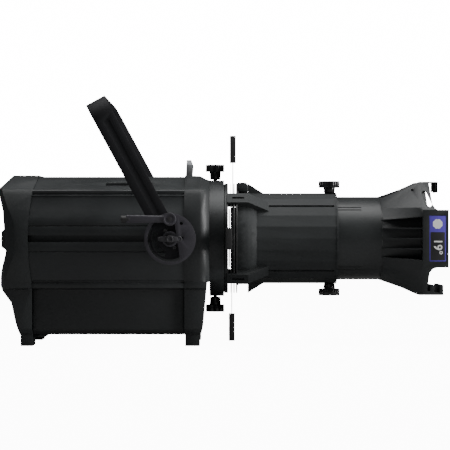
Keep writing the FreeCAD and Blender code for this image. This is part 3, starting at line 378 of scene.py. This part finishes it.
GREY_WORN = (0.10, 0.10, 0.105)
finish = {
    "black_extrusion": powder_coat("black_extrusion", (0.016, 0.0185, 0.0195), GREY_WORN, 0.40),
    "black_sheet": powder_coat("black_sheet", (0.013, 0.0145, 0.015), GREY_WORN, 0.48),
    "black_casting": powder_coat("black_casting", (0.015, 0.0172, 0.018), GREY_WORN, 0.42, peel=700.0),
    "barrel_casting": powder_coat("barrel_casting", (0.015, 0.0172, 0.018), GREY_WORN, 0.62, peel=700.0,
                                  shine=0.42),
    "yoke_paint": powder_coat("yoke_paint", (0.011, 0.011, 0.013), (0.06, 0.06, 0.065), 0.62, wear=0.4,
                              shine=0.25),
    "wing_paint": powder_coat("wing_paint", (0.030, 0.029, 0.033), (0.12, 0.12, 0.13), 0.44, wear=0.7),
    "clamp_paint": powder_coat("clamp_paint", (0.036, 0.034, 0.042), (0.16, 0.15, 0.17), 0.46, wear=0.6),
    "tube_black": powder_coat("tube_black", (0.014, 0.016, 0.0165), GREY_WORN, 0.36, peel=1500.0, bump=0.1),
    "gate_metal": powder_coat("gate_metal", (0.020, 0.020, 0.021), (0.2, 0.2, 0.2), 0.44, wear=0.9),
}

# %% [markdown]
# ## Plastics and rubber
# Knobs are moulded in glossy black, grips in a matt one that stands the heat.  Rubber is the
# flattest of all and holds dust, so its mottle is stronger.

# %% Moulded recipes
def moulded(name, colour, roughness, grain=2400.0, bump=0.06, dusty=0.0):
    material, tree, shader = new_material(name)
    peel_node = use_group(tree, orange_peel, Scale=grain)
    dust = math_node(tree, "MULTIPLY", peel_node.outputs["Mottle"], dusty)
    wire(tree, mix_colour(tree, dust, colour, (0.16, 0.155, 0.15)), shader.inputs["Base Color"])
    uneven = math_node(tree, "MULTIPLY", peel_node.outputs["Mottle"], 0.08)
    wire(tree, math_node(tree, "ADD", uneven, roughness), shader.inputs["Roughness"])
    bumped(tree, shader, peel_node.outputs["Height"], bump, 0.0003)
    return material


finish["knob_plastic"] = moulded("knob_plastic", (0.010, 0.010, 0.011), 0.16, dusty=0.02)
finish["grip_plastic"] = moulded("grip_plastic", (0.014, 0.014, 0.015), 0.50, bump=0.15, dusty=0.05)
finish["panel_plastic"] = moulded("panel_plastic", (0.012, 0.012, 0.013), 0.42, bump=0.12, dusty=0.04)
finish["socket_plastic"] = moulded("socket_plastic", (0.012, 0.018, 0.075), 0.34)
finish["rubber"] = moulded("rubber", (0.014, 0.014, 0.014), 0.72, bump=0.3, dusty=0.18)
finish["key_rubber"] = moulded("key_rubber", (0.055, 0.055, 0.058), 0.62, dusty=0.1)
finish["led_lens"] = moulded("led_lens", (0.80, 0.68, 0.22), 0.2)
finish["circuit_board"] = moulded("circuit_board", (0.012, 0.075, 0.030), 0.4, bump=0.2)

# %% [markdown]
# ## Bare metal
# Rolled or turned metal shows fine lines the way it was worked.  Noise that is stretched along one axis
# gives them; it drives both the gloss and a slight bump.

# %% Brushed recipes
def brushed(name, colour, roughness, lines=(30, 900, 900), tint=(0.7, 0.68, 0.66), bump=0.12):
    material, tree, shader = new_material(name)
    shader.inputs["Metallic"].default_value = 1.0
    streaks = object_noise(tree, 1.0, 4.0, lines)
    slow = ramp(tree, object_noise(tree, 25.0, 3.0), 0.35, 0.7)
    duller = tuple(channel * shade for channel, shade in zip(colour, tint))
    wire(tree, mix_colour(tree, slow, colour, duller), shader.inputs["Base Color"])
    spread = math_node(tree, "MULTIPLY", streaks, 0.22)
    wire(tree, math_node(tree, "ADD", spread, roughness), shader.inputs["Roughness"])
    bumped(tree, shader, streaks, bump, 0.0002)
    return material


finish["blade_steel"] = brushed("blade_steel", (0.55, 0.55, 0.54), 0.22, (900, 900, 40))
finish["dark_steel"] = brushed("dark_steel", (0.10, 0.10, 0.105), 0.36, (700, 60, 700))
finish["bolt_steel"] = brushed("bolt_steel", (0.62, 0.62, 0.60), 0.26, (700, 60, 700))
finish["bare_aluminium"] = brushed("bare_aluminium", (0.62, 0.63, 0.65), 0.30)
finish["eye_zinc"] = brushed("eye_zinc", (0.22, 0.23, 0.24), 0.50)
finish["socket_metal"] = brushed("socket_metal", (0.66, 0.65, 0.62), 0.18, (60, 900, 900))
finish["clip_spring_steel"] = brushed("clip_spring_steel", (0.085, 0.085, 0.09), 0.32, (900, 60, 900))

# %% [markdown]
# ## Glass
# The lenses carry an anti-reflex coating that leaves a faint violet sheen.  Plain dielectric
# glass with a tinted coat is enough, with a little dust in its roughness.

# %% Lens glass and display glass
def lens_glass(name):
    material, tree, shader = new_material(name)
    shader.inputs["Transmission Weight"].default_value = 1.0
    shader.inputs["IOR"].default_value = 1.5
    shader.inputs["Coat Weight"].default_value = 0.4
    shader.inputs["Coat Tint"].default_value = (0.72, 0.66, 1.0, 1.0)
    dust = ramp(tree, object_noise(tree, 45.0, 5.0), 0.5, 0.8)
    wire(tree, mix_colour(tree, dust, (0.90, 0.95, 0.98), (0.84, 0.86, 0.86)), shader.inputs["Base Color"])
    wire(tree, math_node(tree, "MULTIPLY", dust, 0.12), shader.inputs["Roughness"])
    return material


finish["optical_glass"] = lens_glass("optical_glass")
finish["display_glass"] = moulded("display_glass", (0.004, 0.010, 0.022), 0.08, bump=0.01, dusty=0.03)
finish["label_violet"] = moulded("label_violet", (0.105, 0.070, 0.46), 0.32, bump=0.03)

# %% [markdown]
# ## Dress the engineered parts
# Every CAD node gets its finish first.  Pieces that replace some of them come later.

# %% Assign a finish to each CAD node
for node_name, cad in nodes.items():
    cad.data.materials.clear()
    cad.data.materials.append(finish[slot_of[node_name]])

# %% [markdown]
# ## Rounded edges on the castings
# No cast, folded or extruded edge is knife sharp: it has a radius of half a millimetre or more, and
# that thin highlight is what makes metal look real.  A CAD mesh is loose triangles, so a copy is merged,
# its flat faces are dissolved into whole ones, and a Bevel modifier rounds what is left.

# %% Soften a copy of a CAD node
def softened(node, width, crease=35.0):
    copy = bpy.data.objects.new(node + "_shape", nodes[node].data.copy())
    bpy.context.scene.collection.objects.link(copy)
    only(copy)
    bpy.ops.object.mode_set(mode="EDIT")
    bpy.ops.mesh.select_all(action="SELECT")
    bpy.ops.mesh.remove_doubles(threshold=0.00001)
    bpy.ops.mesh.dissolve_limited(angle_limit=math.radians(1.0))
    bpy.ops.object.mode_set(mode="OBJECT")
    bevelled(copy, width, 2, 28.0, crease)
    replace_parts(copy, node)
    finished(copy, node + "_rounded", node, finish[OWN_FINISH.get(node, slot_of[node])])
    return copy


ROUNDED = {
    "main_shell": 1.0, "power_box": 1.6, "rear_cap": 2.2, "control_panel": 0.8, "front_casting": 1.4,
    "safety_eye": 1.0, "yoke_bracket": 0.7, "tilt_plates": 0.5, "gate_flange": 0.5, "barrel_shell": 0.6,
    "slot_cover": 0.8, "front_holder": 0.5, "pivot_bosses": 0.8, "frame_clip": 0.2, "lens_tube": 0.25,
    "rubber_feet": 0.6, "button_menu": 0.5, "button_up": 0.5, "button_down": 0.5, "button_enter": 0.5,
    "data_in": 0.3, "data_out": 0.3, "power_inlet": 0.3, "power_outlet": 0.3, "connector_panel": 0.3,
    "heat_sink": 0.2, "led_board": 0.2, "power_supply": 0.6, "control_board": 0.3, "rod_holder": 0.3,
}
OWN_FINISH = {"barrel_shell": "barrel_casting", "safety_eye": "eye_zinc"}     # duller than their kind
CREASED = {"barrel_shell": 12.0}        # the barrel is a polygon, and its flats meet at 15 degrees
for node_name, radius in ROUNDED.items():
    shape = softened(node_name, radius * MM, CREASED.get(node_name, 35.0))
    print(node_name, "has", len(shape.data.polygons), "faces")

# %% [markdown]
# ## Stock to shape from
# A machinist starts from round bar and flat block.  These two helpers add such stock at its place, and
# a third one sinks or raises a face, which is how recesses, rims and collars are made below.

# %% Round stock, square stock and sunk faces
def round_bar(radius, start, stop, facets=48, top_radius=None):
    """A round or tapered bar between two points."""
    start, stop = Vector(start), Vector(stop)
    turn = (stop - start).to_track_quat("Z", "Y").to_euler()
    bpy.ops.object.select_all(action="DESELECT")
    bpy.ops.mesh.primitive_cone_add(
        vertices=facets, radius1=radius, radius2=radius if top_radius is None else top_radius,
        depth=(stop - start).length, location=(start + stop) / 2, rotation=turn)
    return settle(bpy.context.object)


def block(low, high):
    """A square block between two corners."""
    low, high = Vector(low), Vector(high)
    bpy.ops.object.select_all(action="DESELECT")
    bpy.ops.mesh.primitive_cube_add(size=1.0, location=(low + high) / 2)
    bpy.context.object.scale = high - low
    return settle(bpy.context.object)


def sink(piece, test, rim, depth):
    """Inset the faces that pass a test by a rim, then move them in (or out, below zero)."""
    faces_where(piece, test)
    bpy.ops.mesh.inset(thickness=rim, depth=0.0, use_even_offset=True)
    if depth:
        bpy.ops.mesh.inset(thickness=0.0001 * abs(depth) / MM, depth=-depth)
    bpy.ops.object.mode_set(mode="OBJECT")
    return piece


def painted(piece, material):
    piece.data.materials.clear()
    piece.data.materials.append(material)
    return piece


def assembled(pieces, name, node):
    """Join pieces that already have their materials, and let them ride on a node's body."""
    piece = joined(pieces) if len(pieces) > 1 else pieces[0]
    piece.name = name
    piece.data.name = name
    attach(piece, body_of[node])
    return piece

# %% [markdown]
# ## Star knobs
# A star knob is moulded round a threaded stud: seven lobes to grip, a dished top, a collar below.  The
# cap starts as a bar with eight facets to each lobe.  The edges in the valleys are scaled towards the
# axis, and a bevel melts the facets together.

# %% Model one star knob and place four
LOBES = 7
FACETS_PER_LOBE = 8
COLLAR_FOOT = 0.35         # where the collar starts, as a share of the way from the foot to the cap
VALLEY_SCALES = {0: 0.86, 1: 0.89, 7: 0.89, 2: 0.96, 6: 0.96}


def star_knob(node, cap_radius, cap_height, collar_radius):
    low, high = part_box(node)
    x = (low.x + high.x) / 2
    above = (low.z + high.z) / 2 > AXIS_Z
    top = (high.z - AXIS_Z if above else AXIS_Z - low.z)
    foot = (low.z - AXIS_Z if above else AXIS_Z - high.z)
    cap_foot = top - cap_height
    cap = round_bar(cap_radius, (x, 0, cap_foot), (x, 0, top), LOBES * FACETS_PER_LOBE)
    for place, scale in VALLEY_SCALES.items():
        only(cap)
        bpy.ops.object.mode_set(mode="EDIT")
        bpy.ops.mesh.select_mode(type="VERT")
        bpy.ops.mesh.select_all(action="DESELECT")
        bpy.ops.object.mode_set(mode="OBJECT")
        for vertex in cap.data.vertices:
            angle = math.atan2(vertex.co.y, vertex.co.x - x)
            facet = round(angle / (2 * math.pi) * LOBES * FACETS_PER_LOBE) % FACETS_PER_LOBE
            vertex.select = facet == place
        bpy.ops.object.mode_set(mode="EDIT")
        bpy.ops.transform.resize(value=(scale, scale, 1.0), center_override=(x, 0, 0))
        bpy.ops.object.mode_set(mode="OBJECT")
    sink(cap, lambda centre, normal: normal.z > 0.9, 3.2 * MM, 1.4 * MM)
    bevelled(cap, 1.1 * MM, 3, 24.0)
    painted(cap, finish["knob_plastic"])
    insert = round_bar(4.2 * MM, (x, 0, top - 3.0 * MM), (x, 0, top - 0.9 * MM), 24)
    sink(insert, lambda centre, normal: normal.z > 0.9, 1.2 * MM, 0.6 * MM)
    painted(bevelled(insert, 0.25 * MM), finish["dark_steel"])
    collar_foot = foot + (cap_foot - foot) * COLLAR_FOOT
    collar = round_bar(collar_radius, (x, 0, collar_foot), (x, 0, cap_foot + 0.5 * MM), 40,
                       collar_radius * 1.12)
    painted(bevelled(collar, 0.9 * MM, 3), finish["knob_plastic"])
    stud = round_bar(3.0 * MM, (x, 0, foot), (x, 0, cap_foot - 2.0 * MM), 24)
    painted(bevelled(stud, 0.3 * MM), finish["dark_steel"])
    knob = joined([cap, insert, collar, stud])
    if not above:
        knob.rotation_euler.x = math.pi
    knob.location.z = AXIS_Z
    settle(knob)
    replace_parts(knob, node)
    return assembled([knob], node + "_star", node)


for where in ("top", "bottom"):
    star_knob("barrel_lock_" + where, 14.25 * MM, 10.5 * MM, 7.6 * MM)
    star_knob("focus_lock_" + where, 16.0 * MM, 9.8 * MM, 8.0 * MM)
print("four star knobs")

# %% [markdown]
# ## Shutter grips
# Each blade ends in a moulded grip that stays cool.  A block is hollowed on both wide faces, ribbed
# across so that a gloved finger holds, and rounded all over.

# %% Model the grip of each blade
RIBS = 6


def shutter_grip(side):
    node = "shutter_grip_" + side
    low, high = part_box(node)
    size = high - low
    body = block(low, high)
    sink(body, lambda centre, normal: abs(normal.x) > 0.9, 3.0 * MM, 1.0 * MM)
    painted(bevelled(body, 1.5 * MM, 3), finish["grip_plastic"])
    parts = [body]
    upright = size.z > size.y
    for k in range(RIBS):
        share = (k + 1.0) / (RIBS + 1.0)
        rib_low, rib_high = low.copy(), high.copy()
        along, across = (2, 1) if upright else (1, 2)
        rib_low[along] = low[along] + size[along] * share - 0.9 * MM
        rib_high[along] = rib_low[along] + 1.8 * MM
        rib_low[across] += 4.0 * MM
        rib_high[across] -= 4.0 * MM
        rib_low.x += 0.35 * MM
        rib_high.x -= 0.35 * MM
        parts.append(painted(bevelled(block(rib_low, rib_high), 0.5 * MM), finish["grip_plastic"]))
    grip = assembled(parts, node + "_moulding", node)
    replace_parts(grip, node)
    return grip


for side in ("top", "right", "bottom", "left"):
    shutter_grip(side)
print("four shutter grips")

# %% [markdown]
# ## Tilt levers
# The clamping lever is a casting with a round hub over its bolt and a slim arm whose end carries a soft
# sleeve.  The arm is a block whose far end is scaled down, so that it tapers like the real one.

# %% Model the two levers
LEVER_HUB = 9.0 * MM
SLEEVE_LENGTH = 12.0 * MM


def tilt_lever(side):
    node = "tilt_lever_" + side
    low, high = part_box(node)
    sign = 1.0 if side == "left" else -1.0
    outer = high.y if sign > 0 else low.y
    inner = low.y if sign > 0 else high.y
    hub_x = high.x - LEVER_HUB
    hub_z = (low.z + high.z) / 2
    hub = round_bar(LEVER_HUB, (hub_x, inner + sign * 3.8 * MM, hub_z), (hub_x, outer, hub_z), 48)
    sink(hub, lambda centre, normal: normal.y * sign > 0.9, 2.6 * MM, 0.7 * MM)
    painted(bevelled(hub, 0.9 * MM, 3), finish["clamp_paint"])
    pin = round_bar(3.0 * MM, (hub_x, inner, hub_z), (hub_x, inner + sign * 5.0 * MM, hub_z), 24)
    painted(bevelled(pin, 0.2 * MM), finish["bolt_steel"])
    hub_screw = round_bar(3.6 * MM, (hub_x, outer - sign * 2.0 * MM, hub_z), (hub_x, outer, hub_z), 6)
    painted(bevelled(hub_screw, 0.25 * MM), finish["dark_steel"])
    arm_rear = low.x + SLEEVE_LENGTH * 0.6
    arm = block((arm_rear, outer - sign * 9.0 * MM, hub_z - 5.8 * MM),
                (hub_x, outer - sign * 0.6 * MM, hub_z + 5.8 * MM))
    faces_where(arm, lambda centre, normal: normal.x < -0.9)
    arm_tip = (arm_rear, outer - sign * 4.8 * MM, hub_z)
    bpy.ops.transform.resize(value=(1.0, 0.72, 0.80), center_override=arm_tip)
    bpy.ops.object.mode_set(mode="OBJECT")
    only(arm)
    bpy.ops.object.mode_set(mode="EDIT")
    bpy.ops.mesh.select_all(action="SELECT")
    bpy.ops.mesh.normals_make_consistent(inside=False)
    bpy.ops.object.mode_set(mode="OBJECT")
    painted(bevelled(arm, 2.0 * MM, 4), finish["clamp_paint"])
    lever = assembled([hub, arm, pin, hub_screw], node + "_casting", node)
    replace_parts(lever, node)
    sleeve = round_bar(5.2 * MM, (low.x, outer - sign * 5.2 * MM, hub_z),
                       (low.x + SLEEVE_LENGTH, outer - sign * 5.2 * MM, hub_z), 32, 4.9 * MM)
    faces_where(sleeve, lambda centre, normal: abs(normal.x) < 0.5)
    bpy.ops.mesh.subdivide(number_cuts=5, quadcorner="INNERVERT")
    bpy.ops.object.mode_set(mode="OBJECT")
    painted(bevelled(sleeve, 0.8 * MM, 3), finish["grip_plastic"])
    assembled([sleeve], node + "_sleeve", node)


for side in ("left", "right"):
    tilt_lever(side)
print("two tilt levers with sleeves")

# %% [markdown]
# ## Screws
# Every screw here is the same socket cap screw at another size: a round head with a rounded rim and a
# recess for the key.  One function turns it, and the callers say where its head sits.

# %% Socket cap screws
def cap_screw(seat, direction, radius, height):
    """A screw head that stands on a seat and points in a direction."""
    seat, direction = Vector(seat), Vector(direction).normalized()
    head = round_bar(radius, seat, seat + direction * height, 24)
    sink(head, lambda centre, normal: normal.dot(direction) > 0.9, radius * 0.42, height * 0.55)
    return painted(bevelled(head, min(radius, height) * 0.16, 2, 40.0), finish["dark_steel"])


def ring_of_places(x, radius, angles):
    """Points on a circle about the optical axis, by angle from straight up."""
    turns = [math.radians(angle) for angle in angles]
    return [Vector((x, radius * math.sin(a), AXIS_Z + radius * math.cos(a))) for a in turns]


tilt_low, tilt_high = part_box("tilt_plates")
TILT_X = (tilt_low.x + tilt_high.x) / 2
PLATE_FACE = tilt_high.y
YOKE_LEAN = math.radians(28.5)
CLAMP_SCREW_REACH = 13.5 * MM
yoke_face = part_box("clamp_screws")[1].y - 2.4 * MM
clamp = []
for side in (-1, 1):
    for reach in (-CLAMP_SCREW_REACH, CLAMP_SCREW_REACH):
        seat = (TILT_X - reach * math.sin(YOKE_LEAN), side * yoke_face, AXIS_Z + reach * math.cos(YOKE_LEAN))
        clamp.append(cap_screw(seat, (0, side, 0), 2.6 * MM, 2.4 * MM))
screws = assembled(clamp, "clamp_screw_heads", "clamp_screws")
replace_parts(screws, "clamp_screws")

GATE_SCREW_CIRCLE = 75.0 * MM
gate_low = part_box("gate_screws")[0]
gate = [cap_screw(place, (1, 0, 0), 2.6 * MM, 1.8 * MM)
        for place in ring_of_places(gate_low.x, GATE_SCREW_CIRCLE, (27, -27, 153, 207))]
screws = assembled(gate, "gate_screw_heads", "gate_screws")
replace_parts(screws, "gate_screws")

panel_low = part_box("control_panel")[0]
rear = []
for y in (-60.0 * MM, 60.0 * MM):
    rear.append(cap_screw((panel_low.x, y, AXIS_Z - 1.2 * MM), (-1, 0, 0), 2.2 * MM, 1.2 * MM))
assembled(rear, "panel_screws", "control_panel")

# %% [markdown]
# ## Pivot bolts with their wings
# The yoke turns on a bolt at each side.  Outside, a dark washer and a cast wing hold it; the wing has
# a rounded boss and an eye at one end.  The wing is a block whose ends are scaled thinner.

# %% Model the pivot bolts
def pivot_bolt(side):
    sign = 1.0 if side == "left" else -1.0
    def at(x, y, z=0.0):
        return Vector((TILT_X + x * MM, sign * (PLATE_FACE + y * MM), AXIS_Z + z * MM))
    shaft = round_bar(6.0 * MM, at(0, -26.0), at(0, 0.5), 32)
    painted(bevelled(shaft, 0.4 * MM), finish["bolt_steel"])
    washer = round_bar(8.6 * MM, at(0, 0.1), at(0, 2.2), 40)
    painted(bevelled(washer, 0.5 * MM), finish["yoke_paint"])
    wing = block(at(-17.0, 2.4, -4.2), at(11.5, 6.4, 4.2))
    only(wing)
    bpy.ops.object.mode_set(mode="EDIT")
    bpy.ops.mesh.select_all(action="SELECT")
    bpy.ops.mesh.normals_make_consistent(inside=False)
    bpy.ops.mesh.subdivide(number_cuts=3)
    bpy.ops.object.mode_set(mode="OBJECT")
    for end in (at(-17.0, 4.4), at(11.5, 4.4)):
        faces_where(wing, lambda centre, normal: abs(centre.x - end.x) < 0.1 * MM)
        bpy.ops.transform.resize(value=(1.0, 0.55, 0.52), center_override=end)
        bpy.ops.object.mode_set(mode="OBJECT")
    painted(bevelled(wing, 1.1 * MM, 3, 30.0), finish["wing_paint"])
    boss = round_bar(5.6 * MM, at(0, 2.2), at(0, 7.8), 40, 4.8 * MM)
    sink(boss, lambda centre, normal: normal.y * sign > 0.9, 1.6 * MM, 1.0 * MM)
    painted(bevelled(boss, 0.6 * MM, 3), finish["wing_paint"])
    bpy.ops.object.select_all(action="DESELECT")
    bpy.ops.mesh.primitive_torus_add(major_radius=3.0 * MM, minor_radius=1.1 * MM, major_segments=32,
                                     minor_segments=12, location=at(13.4, 4.4), rotation=(math.pi / 2, 0, 0))
    eye = settle(bpy.context.object)
    bpy.ops.object.shade_smooth()
    painted(eye, finish["wing_paint"])
    return assembled([shaft, washer, wing, boss, eye], "pivot_bolt_" + side, "pivot_bolts")


for side in ("left", "right"):
    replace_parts(pivot_bolt(side), "pivot_bolts")
print("two pivot bolts")

# %% [markdown]
# ## The beam label
# The lens tube is named by its beam angle, 19 degrees, on a violet plate at each side of the colour frame
# holder.  A black panel leaves a violet border, and a scalloped disc above it stands for the lens.
# Print is very thin, so disc and figures are solid pieces a few hundredths of a millimetre high.

# %% Model the label plates
PRINT = 0.12 * MM
label_low, label_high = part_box("label_plates")
white_ink = moulded("white_ink", (0.86, 0.86, 0.86), 0.45, bump=0.02)
black_ink = moulded("black_ink", (0.020, 0.020, 0.022), 0.38, bump=0.05)


def label_plate(side):
    sign = 1.0 if side == "left" else -1.0
    outer = sign * label_high.y
    inner = outer - sign * 1.0 * MM
    middle_x = (label_low.x + label_high.x) / 2
    plate = block((label_low.x, min(inner, outer), label_low.z),
                  (label_high.x, max(inner, outer), label_high.z))
    painted(bevelled(plate, 0.25 * MM), finish["label_violet"])
    border = 1.7 * MM
    split = AXIS_Z + 9.5 * MM
    panel = block((label_low.x + border, min(outer, outer + sign * PRINT), label_low.z + border),
                  (label_high.x - border, max(outer, outer + sign * PRINT), split))
    painted(bevelled(panel, 0.04 * MM), black_ink)
    disc_z = (split + label_high.z) / 2
    disc = round_bar(7.2 * MM, (middle_x, outer, disc_z), (middle_x, outer + sign * PRINT, disc_z), 40)
    only(disc)
    bpy.ops.object.mode_set(mode="EDIT")
    bpy.ops.mesh.select_mode(type="VERT")
    bpy.ops.mesh.select_all(action="DESELECT")
    bpy.ops.object.mode_set(mode="OBJECT")
    for vertex in disc.data.vertices:
        turn = math.atan2(vertex.co.z - disc_z, vertex.co.x - middle_x)
        vertex.select = round(turn / (2 * math.pi) * 40) % 5 == 0
    bpy.ops.object.mode_set(mode="EDIT")
    bpy.ops.transform.resize(value=(0.88, 1.0, 0.88), center_override=(middle_x, outer, disc_z))
    bpy.ops.object.mode_set(mode="OBJECT")
    painted(disc, white_ink)
    bpy.ops.object.select_all(action="DESELECT")
    bpy.ops.object.text_add(location=(middle_x, outer, (label_low.z + split) / 2))
    figures = bpy.context.object
    figures.data.body = "19°"
    figures.data.size = 17.0 * MM
    figures.data.align_x = "CENTER"
    figures.data.align_y = "CENTER"
    figures.data.extrude = PRINT * 0.9
    figures.data.offset = 0.25 * MM
    facing = 0.0 if sign < 0 else math.pi
    figures.rotation_euler = (Matrix.Rotation(facing, 3, "Z") @ Matrix.Rotation(math.pi / 2, 3, "X")
                              @ Matrix.Rotation(-math.pi / 2, 3, "Z")).to_euler()
    only(figures)
    bpy.ops.object.convert(target="MESH")
    figures = settle(bpy.context.object)
    figures.location.y = sign * PRINT * 0.6
    painted(settle(figures), white_ink)
    return assembled([plate, panel, disc, figures], "beam_label_" + side, "label_plates")


for side in ("left", "right"):
    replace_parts(label_plate(side), "label_plates")
print("two beam labels")

# %% [markdown]
# ## Lenses
# A lens surface is a small part of a large sphere.  A sphere is cut with a plane, the open edge is
# filled, and the flat back is pushed out to the thickness of the rim.

# %% Grind the three lenses
def lens(node):
    low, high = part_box(node)
    radius = (high.z - low.z) / 2
    middle_z = (high.z + low.z) / 2
    thick = high.x - low.x
    rim = thick * 0.35
    sag = thick - rim
    curve = (radius ** 2 + sag ** 2) / (2 * sag)
    bpy.ops.object.select_all(action="DESELECT")
    bpy.ops.mesh.primitive_uv_sphere_add(segments=96, ring_count=160, radius=curve,
                                         location=(high.x - curve, 0, middle_z), rotation=(0, math.pi / 2, 0))
    glass = settle(bpy.context.object)
    bpy.ops.object.mode_set(mode="EDIT")
    bpy.ops.mesh.select_all(action="SELECT")
    bpy.ops.mesh.bisect(plane_co=(low.x + rim, 0, middle_z), plane_no=(1, 0, 0), clear_inner=True,
                        use_fill=True)
    bpy.ops.object.mode_set(mode="OBJECT")
    faces_where(glass, lambda centre, normal: normal.x < -0.9)
    bpy.ops.mesh.extrude_region_move(TRANSFORM_OT_translate={"value": (-rim, 0, 0)})
    bpy.ops.mesh.select_all(action="SELECT")
    bpy.ops.mesh.normals_make_consistent(inside=False)
    bpy.ops.object.mode_set(mode="OBJECT")
    bevelled(glass, 0.5 * MM, 2, 40.0)
    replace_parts(glass, node)
    return assembled([painted(glass, finish["optical_glass"])], node + "_ground", node)


for node_name in ("rear_lens", "front_lens", "condenser_lens"):
    lens(node_name)
print("three lenses")

# %% [markdown]
# ## Display figures
# The rear display shows the control address.  Its figures are seven-segment ones, each segment a bar
# with rounded ends, sunk behind a dark window, so they are built just proud of it.

# %% Model the display figures
SEGMENTS = {"a": (0, 1, 1), "b": (1, 0.5, 0), "c": (1, -0.5, 0), "d": (0, -1, 1), "e": (-1, -0.5, 0),
            "f": (-1, 0.5, 0), "g": (0, 0, 1)}
LIT = {"0": "abcdef", "1": "bc"}
display_glow = moulded("display_glow", (0.25, 0.62, 0.85), 0.4)
display_glow.node_tree.nodes["Principled BSDF"].inputs["Emission Color"].default_value = (0.25, 0.7, 1.0, 1.0)
display_glow.node_tree.nodes["Principled BSDF"].inputs["Emission Strength"].default_value = 0.6
window_low, window_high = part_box("display_window")
middle_y = (window_low.y + window_high.y) / 2
middle_z = (window_low.z + window_high.z) / 2
bars = []
for place, figure in enumerate("001"):
    y0 = middle_y + (1 - place) * 11.0 * MM
    for segment in LIT[figure]:
        across, up, flat = SEGMENTS[segment]
        y = y0 - across * 2.8 * MM
        z = middle_z + up * 5.2 * MM
        half_y, half_z = (2.1 * MM, 0.5 * MM) if flat else (0.5 * MM, 1.9 * MM)
        bar = block((window_low.x - 0.15 * MM, y - half_y, z - half_z),
                    (window_low.x + 0.1 * MM, y + half_y, z + half_z))
        bars.append(painted(bevelled(bar, 0.08 * MM), display_glow))
assembled(bars, "display_figures", "display_window")
